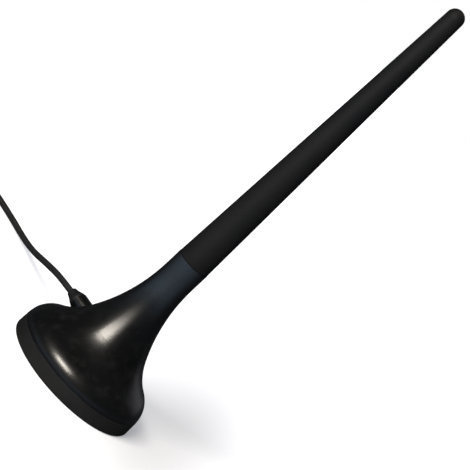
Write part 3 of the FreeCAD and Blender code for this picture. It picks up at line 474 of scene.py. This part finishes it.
def metal(name, colour, tarnish, axis, roughness, patch=1.5, amount=0.4, spacing=0.06, bump=0.004,
          worn=None, wear=0.5, metallic=1.0):
    """A turned, drawn or plated metal: rings or lines along its axis, tarnish and bright edges."""
    material, tree, shader, place = new_material(name, Metallic=metallic)
    along = add_node(tree, "ShaderNodeSeparateXYZ", {0: place}).outputs[axis]
    marks = use_group(tree, TURNED, along=along, spacing=spacing)
    tone = use_group(
        tree, TONE, vector=place, metal=(*colour, 1), tarnish=(*tarnish, 1), patch_size=patch,
        amount=amount)
    rubbed = use_group(tree, WEAR, vector=place, width=METAL_WEAR_WIDTH * MM, amount=wear)["Mask"]
    scratched = use_group(tree, SCUFFS, vector=place, length=1.5, amount=0.5)["Mask"]
    edge = blend_colours(tree, rubbed, tone["Colour"], (*(worn or colour), 1))
    tree.links.new(edge, shader["Base Color"])
    gloss = stretch(
        tree, marks["Shade"], 0.2, 0.8, roughness - GLOSS_SPREAD, roughness + GLOSS_SPREAD, "LINEAR")
    for mask, dulling in ((tone["Mask"], 0.25), (scratched, 0.2)):
        gloss = calculate(tree, "MULTIPLY_ADD", mask, dulling, gloss)
    tree.links.new(calculate(tree, "MINIMUM", gloss, 1.0), shader["Roughness"])
    height = calculate(tree, "MULTIPLY_ADD", scratched, SCRATCH_DEPTH, marks["Height"])
    bumped = add_node(tree, "ShaderNodeBump", {"Height": height, "Distance": bump * MM})
    tree.links.new(bumped.outputs[0], shader["Normal"])
    return material


def braided(name, colour, tarnish, strands, lay):
    """Tinned copper braid: both braids lie along an axis that this turns to X before the weave."""
    material, tree, shader, place = new_material(name, Metallic=1.0)
    turned = add_node(tree, "ShaderNodeMapping", {
        "Vector": place, "Location": (0.0, 0.0, EXIT_HEIGHT), "Rotation": (0.0, 0.0, EXIT_TURN),
    }, vector_type="TEXTURE").outputs[0]
    parts = add_node(tree, "ShaderNodeSeparateXYZ", {0: turned}).outputs
    around = calculate(tree, "ARCTAN2", parts[2], parts[1])
    weave = use_group(tree, WEAVE, around=around, along=parts[0], strands=strands, lay=lay)["Height"]
    tone = use_group(
        tree, TONE, vector=place, metal=(*colour, 1), tarnish=(*tarnish, 1), patch_size=0.8,
        amount=0.4)
    # Between the strands the colour is tarnish darkened further: oxide in the hollows and painted
    # shade.
    hollow_tarnish_and_shade = blend_colours(tree, weave, tint(tarnish, 0.35), tone["Colour"])
    tree.links.new(hollow_tarnish_and_shade, shader["Base Color"])
    tree.links.new(stretch(tree, weave, 0, 1, 0.6, 0.3), shader["Roughness"])
    bumped = add_node(tree, "ShaderNodeBump", {"Height": weave, "Distance": 0.05 * MM})
    tree.links.new(bumped.outputs[0], shader["Normal"])
    return material


X_AXIS, Y_AXIS, Z_AXIS = range(3)
BRASS, BRASS_TARNISH = (0.72, 0.50, 0.20), (0.34, 0.22, 0.10)
GOLD, NICKEL = (0.88, 0.62, 0.26), (0.62, 0.58, 0.50)

# Grain, mottling and bumps are in millimetres.
FINISH = {
    "housing": moulded(
        "gloss_housing", (0.0024, 0.0026, 0.0030), worn=(0.024, 0.025, 0.027), grain=1.1, bump=0.008,
        roughness=0.29, mottle=9.0, wear=0.3, scuffs=0.25, dust=0.08),
    "foot_rubber": moulded(
        "foot_rubber", (0.0078, 0.0082, 0.0092), worn=(0.045, 0.047, 0.05), grain=0.22, bump=0.035,
        roughness=0.72, specular=0.22, wear_width=0.3, dust=0.25),
    "pad_rubber": moulded(
        "pad_rubber", (0.014, 0.014, 0.015), worn=(0.05, 0.05, 0.05), grain=0.35, bump=0.08,
        roughness=0.8, specular=0.25, scuffs=0.5, dust=0.0),
    "magnet": metal(
        "nickel_magnet", NICKEL, (0.35, 0.33, 0.30), axis=Z_AXIS, roughness=0.25, patch=4.0,
        amount=0.25),
    "tinned_steel": metal(
        "tinned_steel", (0.68, 0.68, 0.66), (0.42, 0.42, 0.42), axis=X_AXIS, roughness=0.35,
        patch=2.0),
    "boot_rubber": moulded(
        "boot_rubber", (0.006, 0.006, 0.007), worn=(0.04, 0.04, 0.04), grain=0.18, bump=0.02,
        roughness=0.55, specular=0.3, dust=0.15),
    "braid": braided("tinned_braid", (0.70, 0.66, 0.58), (0.45, 0.30, 0.20), strands=12.0, lay=0.45),
    "cord_core": moulded(
        "cord_core", (0.72, 0.72, 0.69), worn=(0.6, 0.6, 0.57), grain=0.25, bump=0.01,
        roughness=0.42, wear=0.2, dust=0.0),
    "bare_copper": metal(
        "bare_copper", (0.80, 0.42, 0.25), (0.33, 0.15, 0.09), axis=Z_AXIS, roughness=0.28, patch=1.2,
        spacing=0.12),
    "turned_brass": metal(
        "turned_brass", BRASS, BRASS_TARNISH, axis=Z_AXIS, roughness=0.26, spacing=0.09),
    "sheath": moulded(
        "matte_sheath", (0.0052, 0.0052, 0.0055), worn=(0.03, 0.03, 0.03), grain=0.26, bump=0.030,
        roughness=0.60, mottle=12.0, specular=0.13, wear=0.3, scuffs=0.35, dust=0.12),
    "cord_jacket": moulded(
        "cord_jacket", (0.014, 0.014, 0.015), worn=(0.05, 0.05, 0.05), grain=0.16, bump=0.012,
        roughness=0.42, specular=0.35, wear=0.0, scuffs=0.4, dust=0.25),
    "tie_plastic": moulded(
        "tie_nylon", (0.018, 0.018, 0.019), worn=(0.07, 0.07, 0.07), grain=0.12, bump=0.010,
        roughness=0.46, dust=0.2),
    "gold_plated": metal(
        "gold_plating", GOLD, (0.62, 0.42, 0.16), axis=Y_AXIS, roughness=0.26, patch=2.5, amount=0.25,
        bump=0.0025, worn=NICKEL, metallic=0.8),
    "white_dielectric": moulded(
        "white_dielectric", (0.80, 0.80, 0.77), worn=(0.7, 0.7, 0.66), grain=0.3, bump=0.008,
        roughness=0.46, wear=0.2, dust=0.0),
    "spring_bronze": metal(
        "spring_bronze", (0.66, 0.44, 0.24), (0.30, 0.18, 0.09), axis=Y_AXIS, roughness=0.3),
    "gasket_rubber": moulded(
        "gasket_silicone", (0.36, 0.045, 0.025), worn=(0.45, 0.09, 0.06), grain=0.2, bump=0.012,
        roughness=0.55, dust=0.05),
    "sleeve": moulded(
        "shrink_sleeve", (0.010, 0.010, 0.0105), worn=(0.05, 0.05, 0.05), grain=0.7, bump=0.05,
        roughness=0.48, mottle=3.0, specular=0.4, wear=0.4, scuffs=0.5, dust=0.2),
}

for part in frame["record"]["subparts"]:
    mesh = nodes[part["node"]].data
    mesh.materials.clear()
    mesh.materials.append(FINISH[part["material_slot"]])


# Making the scene's own pieces

SAME_PLACE = 0.0002


def add_piece(name, mesh, body, slot, *stands_for):
    """Puts a finished mesh in the scene on its body, in place of the nodes that it stands for."""
    piece = bpy.data.objects.new(name, mesh)
    bpy.context.scene.collection.objects.link(piece)
    if not mesh.materials:
        mesh.materials.append(FINISH[slot])
    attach(piece, body)
    if stands_for:
        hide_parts(*stands_for)
    return piece


def finish_mesh(name, form, crease=30.0):
    """A mesh with closed poles, outward faces, smooth curves and sharp edges."""
    bmesh.ops.remove_doubles(form, verts=form.verts, dist=SAME_PLACE * MM)
    bmesh.ops.recalc_face_normals(form, faces=form.faces)
    for face in form.faces:
        face.smooth = True
    for edge in form.edges:
        edge.smooth = len(edge.link_faces) == 2 and edge.calc_face_angle(0.0) < math.radians(crease)
    mesh = bpy.data.meshes.new(name)
    form.to_mesh(mesh)
    form.free()
    return mesh


def make_with_nodes(name, tree, start, **values):
    """Runs a geometry tree on a start mesh and gives the result as a plain mesh."""
    piece = bpy.data.objects.new(name, start)
    bpy.context.scene.collection.objects.link(piece)
    modifier = piece.modifiers.new(name, "NODES")
    modifier.node_group = tree
    items = tree.interface.items_tree
    sockets = {item.name: item.identifier for item in items if item.in_out == "INPUT"}
    for label, value in values.items():
        modifier[sockets[label.replace("_", " ").title()]] = value
    graph = bpy.context.evaluated_depsgraph_get()
    done = bpy.data.meshes.new_from_object(piece.evaluated_get(graph))
    done.name = name
    piece.modifiers.remove(modifier)
    bpy.data.objects.remove(piece)
    return done


def make_turned(name, outline, place, segments, crease):
    """A closed outline of (along, radius) turned round an axis that the place function knows."""
    form = bmesh.new()
    angles = [2 * math.pi * number / segments for number in range(segments)]
    rings = [
        [form.verts.new(Vector(place(along, radius, angle)) * MM) for angle in angles]
        for along, radius in outline
    ]
    for this, after in zip(rings, rings[1:] + rings[:1]):
        for number in range(segments):
            beside = (number + 1) % segments
            form.faces.new((this[number], this[beside], after[beside], after[number]))
    return finish_mesh(name, form, crease)


# The boot: a soft bell over the cord's exit, with its barb inside the base

BOOT_SEGMENTS = 48
BOOT_CREASE = 35.0
BOOT = [
    (5.79, 0.80), (5.79, 1.24), (5.84, 1.30), (6.82, 1.57), (6.89, 1.54), (6.89, 1.30),
    (11.41, 1.30), (11.41, 1.70), (11.46, 1.76), (11.66, 1.78), (11.90, 1.74), (12.20, 1.62),
    (12.55, 1.45), (12.90, 1.30), (13.25, 1.18), (13.55, 1.10), (13.78, 1.05), (13.91, 1.00),
    (13.98, 0.92), (14.0, 0.83), (13.97, 0.76), (13.90, 0.735), (5.87, 0.735),
]


def boot_place(along, radius, angle):
    """A place on the boot, in millimetres, round the line on which the cord leaves the base."""
    x, y, z = on_cord_axis(along)
    side, rise = radius * math.cos(angle), radius * math.sin(angle)
    return x - side * math.sin(EXIT_TURN), y + side * math.cos(EXIT_TURN), z + rise


add_piece(
    "boot", make_turned("boot", BOOT, boot_place, BOOT_SEGMENTS, BOOT_CREASE),
    ANTENNA, "boot_rubber", "strain_relief")


# The coupling nut: a hexagon with chamfered corners, round collars and a threaded bore

PLUG = (-80.2, -6.6, 4.9)
NUT_SEGMENTS = 96
NUT_CREASE = 20.0
NUT_FLAT = 4.0
THREAD_ROOT = 3.17
THREAD_CREST = 2.86
THREAD_PITCH = 0.7056
THREAD_TURNS = 4.5
THREAD_START = 0.05
THREAD_STEPS = 48
NUT_OUTSIDE = [
    (-4.5, 3.72), (-4.42, 3.84), (-4.3, 3.9), (-3.8, 3.9), (-3.8, 4.05),
    (-3.71, 4.2), (-3.6, 4.38), (-3.46, 4.62), (2.36, 4.62), (2.5, 4.38), (2.61, 4.2), (2.7, 4.05),
    (2.7, 3.9), (3.2, 3.9), (3.32, 3.84), (3.4, 3.72),
]
NUT_BORE = [
    (3.4, 3.30), (3.27, THREAD_ROOT), (-0.2, THREAD_ROOT), (-0.2, 3.3), (-3.06, 3.3), (-3.06, 2.56),
    (-3.44, 2.56), (-3.44, 2.98), (-4.06, 2.98), (-4.06, 2.56), (-4.42, 2.56), (-4.5, 2.64),
]


def hexagon_reach(angle):
    """How far the nut's hexagon reaches at an angle round its axis, in millimetres."""
    sixth = math.pi / 3
    return NUT_FLAT / math.cos((angle + sixth / 2) % sixth - sixth / 2)


def nut_place(along, radius, angle):
    """A place on the nut, in millimetres: what is wider than the flats is cut to the hexagon."""
    reach = min(radius, hexagon_reach(angle)) if radius > NUT_FLAT else radius
    return PLUG[0] + reach * math.cos(angle), PLUG[1] - along, PLUG[2] + reach * math.sin(angle)


def make_thread_tree():
    """A ridge that winds inside a bore: a triangle swept along a helix, with its ends faded out."""
    tree, given, result = new_group("thread_ridge", "GeometryNodeTree", [
        ("Root Radius", FLOAT, THREAD_ROOT * MM), ("Crest Radius", FLOAT, THREAD_CREST * MM),
        ("Pitch", FLOAT, THREAD_PITCH * MM), ("Turns", FLOAT, THREAD_TURNS),
        ("Finish", "NodeSocketMaterial", None), ("Place", VECTOR, None),
    ], [("Geometry", GEOMETRY)])
    depth = calculate(tree, "SUBTRACT", given["Root Radius"], given["Crest Radius"])
    side = calculate(tree, "DIVIDE", depth, 1.5)
    middle = calculate(tree, "SUBTRACT", given["Root Radius"], calculate(tree, "MULTIPLY", side, 0.5))
    helix = add_node(tree, "GeometryNodeCurveSpiral", {
        "Resolution": THREAD_STEPS, "Rotations": given["Turns"],
        "Start Radius": middle, "End Radius": middle,
        "Height": calculate(tree, "MULTIPLY", given["Turns"], given["Pitch"]),
    })
    upright = add_node(tree, "GeometryNodeSetCurveNormal", {"Curve": helix.outputs[0]}, mode="Z_UP")
    share = add_node(tree, "GeometryNodeSplineParameter").outputs["Factor"]
    ends = calculate(tree, "MINIMUM", share, calculate(tree, "SUBTRACT", 1.0, share))
    fade = stretch(tree, ends, 0.0, 0.06, 0.05, 1.0)
    faded = add_node(
        tree, "GeometryNodeSetCurveRadius", {"Curve": upright.outputs[0], "Radius": fade})
    section = add_node(tree, "GeometryNodeCurvePrimitiveCircle", {"Resolution": 3, "Radius": side})
    ridge = add_node(tree, "GeometryNodeCurveToMesh", {
        "Curve": faded.outputs[0], "Profile Curve": section.outputs[0], "Fill Caps": True,
    })
    placed = add_node(tree, "GeometryNodeTransform", {
        "Geometry": ridge.outputs[0], "Translation": given["Place"],
        "Rotation": (math.pi / 2, 0.0, 0.0),
    })
    real = add_node(tree, "GeometryNodeRealizeInstances", {"Geometry": placed.outputs[0]})
    done = add_node(
        tree, "GeometryNodeSetMaterial", {"Geometry": real.outputs[0], "Material": given["Finish"]})
    tree.links.new(done.outputs[0], result["Geometry"])
    return tree


nut = add_piece(
    "nut", make_turned("nut", NUT_OUTSIDE + NUT_BORE, nut_place, NUT_SEGMENTS, NUT_CREASE),
    NUT, "gold_plated", "coupling_nut")
thread = add_piece("nut_thread", make_with_nodes(
    "nut_thread", make_thread_tree(), bpy.data.meshes.new("nut_thread"),
    finish=FINISH["gold_plated"], place=Vector((PLUG[0], PLUG[1] + THREAD_START, PLUG[2])) * MM,
), NUT, "gold_plated")


# The strap round the coil: a toothed band drawn round the turns, and its head

STRAP_WIDTH = 2.5
STRAP_THICKNESS = 0.45
STRAP_CLEARANCE = 0.05
STRAP_ARC = math.radians(9)
TOOTH_PITCH = 0.55
TOOTH_HEIGHT = 0.09
HEAD_SIZE = (3.1, 3.0, 1.7)
HEAD_ROUNDING = 0.22
STUB_SIZE = (2.3, 1.2, 0.45)
STUB_ROUNDING = 0.1
STUB_INSIDE = 0.3
STUB_RISE = 0.15
STRAIGHT = 1e-6


def turned_way(origin, first, second):
    """Above 0 where the way from the origin to the second place lies anticlockwise of the first."""
    across, up = first[0] - origin[0], first[1] - origin[1]
    return across * (second[1] - origin[1]) - up * (second[0] - origin[0])


def around(places):
    """The outer places of a section, anticlockwise, without those that lie on a straight side."""
    places = sorted(set(places))
    sides = []
    for run in (places, places[::-1]):
        side = []
        for place in run:
            while len(side) > 1 and turned_way(side[-2], side[-1], place) <= STRAIGHT:
                side.pop()
            side.append(place)
        sides += side[:-1]
    return sides


def held_corners():
    """The outer turns under the strap, as it draws them together. The last passes outside it."""
    return around([tied(out, up, 1.0) for out, up in coil_places()[:-1]])


def strap_line():
    """The strap's middle line in the section: straight runs between arcs round the outer turns."""
    corners = held_corners()
    reach = CORD_THICKNESS / 2 + STRAP_CLEARANCE + STRAP_THICKNESS / 2
    line = []
    for number, corner in enumerate(corners):
        before, after = corners[number - 1], corners[(number + 1) % len(corners)]
        start = math.atan2(-(corner[0] - before[0]), corner[1] - before[1])
        stop = math.atan2(-(after[0] - corner[0]), after[1] - corner[1])
        while stop < start:
            stop += 2 * math.pi
        steps = max(2, int((stop - start) / STRAP_ARC))
        for step in range(steps + 1):
            angle = start + (stop - start) * step / steps
            line.append((corner[0] + reach * math.cos(angle), corner[1] + reach * math.sin(angle)))
    return line


def in_section(out, up, across=0.0):
    """A place in the section under the strap, and across the strap's width, in metres."""
    return Vector((COIL_CENTRE[0] + across, COIL_CENTRE[1] - COIL_RADIUS - out, up)) * MM


def make_strap_tree():
    """A flat band swept along a closed line, with a rack of teeth on its inner face."""
    tree, given, result = new_group("toothed_strap", "GeometryNodeTree", [
        ("Geometry", GEOMETRY, None), ("Width", FLOAT, STRAP_WIDTH * MM),
        ("Thickness", FLOAT, STRAP_THICKNESS * MM), ("Tooth Pitch", FLOAT, TOOTH_PITCH * MM),
        ("Tooth Height", FLOAT, TOOTH_HEIGHT * MM), ("Finish", "NodeSocketMaterial", None),
    ], [("Geometry", GEOMETRY)])
    line = add_node(tree, "GeometryNodeMeshToCurve", {0: given["Geometry"]}).outputs[0]
    flat = add_node(tree, "GeometryNodeCurvePrimitiveQuadrilateral", {
        "Width": given["Width"], "Height": given["Thickness"],
    })
    rounding = calculate(tree, "MULTIPLY", given["Thickness"], 0.3)
    softened = add_node(tree, "GeometryNodeFilletCurve", {
        "Curve": flat.outputs[0], "Radius": rounding, "Count": 3,
    }, mode="POLY")
    band = add_node(
        tree, "GeometryNodeCurveToMesh", {"Curve": line, "Profile Curve": softened.outputs[0]})
    spots = add_node(tree, "GeometryNodeCurveToPoints", {
        "Curve": line, "Length": given["Tooth Pitch"]}, mode="LENGTH")
    size = add_node(tree, "ShaderNodeCombineXYZ", {
        0: calculate(tree, "MULTIPLY", given["Width"], 0.62), 1: given["Tooth Height"],
        2: calculate(tree, "MULTIPLY", given["Tooth Pitch"], 0.5),
    })
    tooth = add_node(tree, "GeometryNodeMeshCube", {"Size": size.outputs[0]})
    teeth = add_node(tree, "GeometryNodeInstanceOnPoints", {
        "Points": spots.outputs["Points"], "Instance": tooth.outputs[0],
        "Rotation": spots.outputs["Rotation"],
    })
    inwards = add_node(tree, "ShaderNodeCombineXYZ", {1: calculate(
        tree, "MULTIPLY", calculate(tree, "ADD", given["Thickness"], given["Tooth Height"]), 0.5)})
    moved = add_node(tree, "GeometryNodeTranslateInstances", {
        "Instances": teeth.outputs[0], "Translation": inwards.outputs[0]})
    both = add_node(tree, "GeometryNodeJoinGeometry")
    tree.links.new(band.outputs[0], both.inputs[0])
    tree.links.new(moved.outputs[0], both.inputs[0])
    real = add_node(tree, "GeometryNodeRealizeInstances", {"Geometry": both.outputs[0]})
    done = add_node(
        tree, "GeometryNodeSetMaterial", {"Geometry": real.outputs[0], "Material": given["Finish"]})
    tree.links.new(done.outputs[0], result["Geometry"])
    return tree


def make_strap():
    """The toothed band as a plain mesh."""
    line = strap_line()
    start = bpy.data.meshes.new("strap_line")
    edges = [(number, (number + 1) % len(line)) for number in range(len(line))]
    start.from_pydata([in_section(*place) for place in line], edges, [])
    return make_with_nodes("coil_strap", make_strap_tree(), start, finish=FINISH["tie_plastic"])


def add_block(form, centre, size, frame_turn, bevel):
    """Adds a block with rounded edges, turned and placed."""
    made = bmesh.ops.create_cube(form, size=1.0)
    for vertex in made["verts"]:
        vertex.co = frame_turn @ Vector(a * b * MM for a, b in zip(vertex.co, size)) + centre
    edges = {edge for vertex in made["verts"] for edge in vertex.link_edges}
    bmesh.ops.bevel(
        form, geom=list(edges), offset=bevel * MM, segments=3, affect="EDGES", profile=0.5)


def make_strap_head():
    """The strap's head on its upper run, with the cut end of the strap sticking out of it."""
    corners = held_corners()
    top = max(range(len(corners)), key=lambda number: corners[number][1])
    first, second = corners[top], corners[(top + 1) % len(corners)]
    lean = math.atan2(first[1] - second[1], first[0] - second[0])
    rise = CORD_THICKNESS / 2 + STRAP_CLEARANCE + HEAD_SIZE[2] / 2
    out = (first[0] + second[0]) / 2 - math.sin(lean) * rise
    up = (first[1] + second[1]) / 2 + math.cos(lean) * rise
    turn = Matrix.Rotation(-lean, 3, "X")
    form = bmesh.new()
    add_block(form, in_section(out, up), HEAD_SIZE, turn, HEAD_ROUNDING)
    stub = turn @ Vector((0.0, (HEAD_SIZE[1] + STUB_SIZE[1]) / 2 - STUB_INSIDE, STUB_RISE)) * MM
    add_block(form, in_section(out, up) + stub, STUB_SIZE, turn, STUB_ROUNDING)
    return finish_mesh("strap_head", form)


strap = add_piece("coil_strap", make_strap(), ANTENNA, "tie_plastic", "coil_tie")
strap_head = add_piece("strap_head", make_strap_head(), ANTENNA, "tie_plastic")


# The cord's body and finish, in place of the CAD cord pieces

cord.data.materials.append(FINISH["cord_jacket"])
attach(cord, ANTENNA)
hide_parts("cord_run", "cord_coil", "cord_tail")


# Light, floor and backdrop, in metres

def towards(azimuth, elevation, distance):
    """A place round the antenna: azimuth 0 is on the camera's side and grows to the right."""
    a, e = math.radians(azimuth), math.radians(elevation)
    return Vector((math.sin(a) * math.cos(e), -math.cos(a) * math.cos(e), math.sin(e))) * distance


WINDOW_PLACE = towards(-27, 34, 0.6)
WINDOW_AIM = Vector((0, 0, 0.02))
WINDOW_SIZE = (0.30, 0.13)
WINDOW_POWER = 4.3
WINDOW_COLOUR = (1.0, 0.93, 0.83)
BRIGHT_SIDE = -15.0

FLOOR_REACH = 0.55
FLOOR_SIDES = 64
FLOOR_WHITE = (0.80, 0.82, 0.86, 1)
FLOOR_GLOW = (0.97, 0.97, 1.0, 1)
# Painted reflection colours of the floor for glossy rays: pale bluish on the light's side, dark
# painted shade elsewhere.
REFLECTED_FLOOR = (0.46, 0.66, 0.93, 1)
REFLECTED_SHADE = (0.03, 0.032, 0.035, 1)
# Painted shadow: the floor's glow to the camera is weaker in this band beside the base, so the soft
# shadow reads darker and wider.
PAINTED_SHADOW_PLACE = (0.0225, 0.012, 0.0)
PAINTED_SHADOW_TURN = -0.09
PAINTED_SHADOW_SIZE = (0.0208, 0.096, 1.0)

WHITE = (1, 1, 1, 1)
FILL = (0.40, 0.40, 0.41, 1)
PALE_SWEEP = (0.50, 0.64, 0.78, 1)
DIM_ROOM = (0.022, 0.024, 0.026, 1)
BACKDROP = (0.30, 0.30, 0.32, 1)


def make_window_light():
    """One soft warm light, at the left in front and above, which aims at the base."""
    data = bpy.data.lights.new("window", "AREA")
    data.shape = "RECTANGLE"
    data.size, data.size_y = WINDOW_SIZE
    data.energy = WINDOW_POWER
    data.color = WINDOW_COLOUR
    light = bpy.data.objects.new("window", data)
    turn = (WINDOW_AIM - WINDOW_PLACE).to_track_quat("-Z", "Y").to_matrix().to_4x4()
    light.matrix_world = Matrix.Translation(WINDOW_PLACE) @ turn
    bpy.context.scene.collection.objects.link(light)


def on_bright_side(tree, place):
    """How far a place or a direction goes to the side from which the light comes."""
    side = towards(BRIGHT_SIDE, 0, 1.0)
    ends = {0: place, 1: side}
    return add_node(tree, "ShaderNodeVectorMath", ends, operation="DOT_PRODUCT").outputs["Value"]


def make_floor():
    """A round white floor that takes the window's soft shadow. To the camera it also glows, more with
    distance from the base and less in a band beside it, which paints the soft shadow there darker and
    wider. Glossy pieces see it in painted reflection colours: pale on the light's side, dark painted
    shade at the base and behind."""
    form = bmesh.new()
    bmesh.ops.create_circle(form, cap_ends=True, radius=FLOOR_REACH, segments=FLOOR_SIDES)
    mesh = bpy.data.meshes.new("floor")
    form.to_mesh(mesh)
    form.free()
    floor = bpy.data.objects.new("floor", mesh)
    bpy.context.scene.collection.objects.link(floor)
    material = bpy.data.materials.new("white_floor")
    material.use_nodes = True
    tree = material.node_tree
    tree.nodes.clear()
    rays = add_node(tree, "ShaderNodeLightPath").outputs
    place = add_node(tree, "ShaderNodeTexCoord").outputs["Object"]
    laid = add_node(tree, "ShaderNodeMapping", {
        "Vector": place, "Location": PAINTED_SHADOW_PLACE, "Rotation": (0.0, 0.0, PAINTED_SHADOW_TURN),
        "Scale": PAINTED_SHADOW_SIZE,
    }, vector_type="TEXTURE").outputs[0]
    away = add_node(tree, "ShaderNodeVectorMath", {0: laid}, operation="LENGTH").outputs["Value"]
    out = add_node(tree, "ShaderNodeVectorMath", {0: place}, operation="LENGTH").outputs["Value"]
    # Painted reflection: glossy rays see the floor lit on the light's side away from the base, and in
    # painted shade near the base and behind.
    ahead = stretch(tree, on_bright_side(tree, place), -0.08, 0.12)
    lit = calculate(tree, "MULTIPLY", stretch(tree, out, 0.025, 0.09), ahead)
    mirrored = blend_colours(tree, lit, REFLECTED_SHADE, REFLECTED_FLOOR)
    colour = blend_colours(tree, rays["Is Glossy Ray"], FLOOR_WHITE, mirrored)
    matte = add_node(tree, "ShaderNodeBsdfDiffuse", {"Color": colour})
    # Painted shadow: less glow to the camera inside the band beside the base.
    painted_shadow_glow = stretch(tree, away, 0.0, 1.0, 0.085, 0.49)
    far = stretch(tree, out, 0.045, 0.45, 0.0, 0.6, "LINEAR")
    strength = calculate(tree, "MULTIPLY", rays["Is Camera Ray"], calculate(tree, "ADD", painted_shadow_glow, far))
    glow = add_node(tree, "ShaderNodeEmission", {"Color": FLOOR_GLOW, "Strength": strength})
    both = add_node(tree, "ShaderNodeAddShader", {0: matte.outputs[0], 1: glow.outputs[0]})
    add_node(tree, "ShaderNodeOutputMaterial", {"Surface": both.outputs[0]})
    mesh.materials.append(material)


def make_world():
    """White to the camera and a plain fill to matte surfaces. Glossy ones see a pale sweep below,
    a dim room above and a lighter backdrop behind the antenna."""
    world = bpy.data.worlds.new("studio")
    bpy.context.scene.world = world
    world.use_nodes = True
    tree = world.node_tree
    tree.nodes.clear()
    rays = add_node(tree, "ShaderNodeLightPath").outputs
    way = add_node(tree, "ShaderNodeTexCoord").outputs["Generated"]
    across, depth, height = add_node(tree, "ShaderNodeSeparateXYZ", {0: way}).outputs
    ahead = stretch(tree, on_bright_side(tree, way), -0.2, 0.7)
    pale = blend_colours(tree, ahead, REFLECTED_SHADE, PALE_SWEEP)
    backdrop = calculate(
        tree, "MULTIPLY", stretch(tree, depth, 0.50, 0.80), stretch(tree, across, -0.25, 0.15))
    for low, high in ((0.02, 0.22), (0.75, 0.45)):
        backdrop = calculate(tree, "MULTIPLY", backdrop, stretch(tree, height, low, high))
    above = blend_colours(tree, backdrop, DIM_ROOM, BACKDROP)
    sweep = blend_colours(tree, stretch(tree, height, -0.02, 0.10), pale, above)
    seen = blend_colours(tree, rays["Is Glossy Ray"], FILL, sweep)
    seen = blend_colours(tree, rays["Is Camera Ray"], seen, WHITE)
    back = add_node(tree, "ShaderNodeBackground", {"Color": seen, "Strength": 1.0})
    add_node(tree, "ShaderNodeOutputWorld", {"Surface": back.outputs[0]})


make_window_light()
make_floor()
make_world()
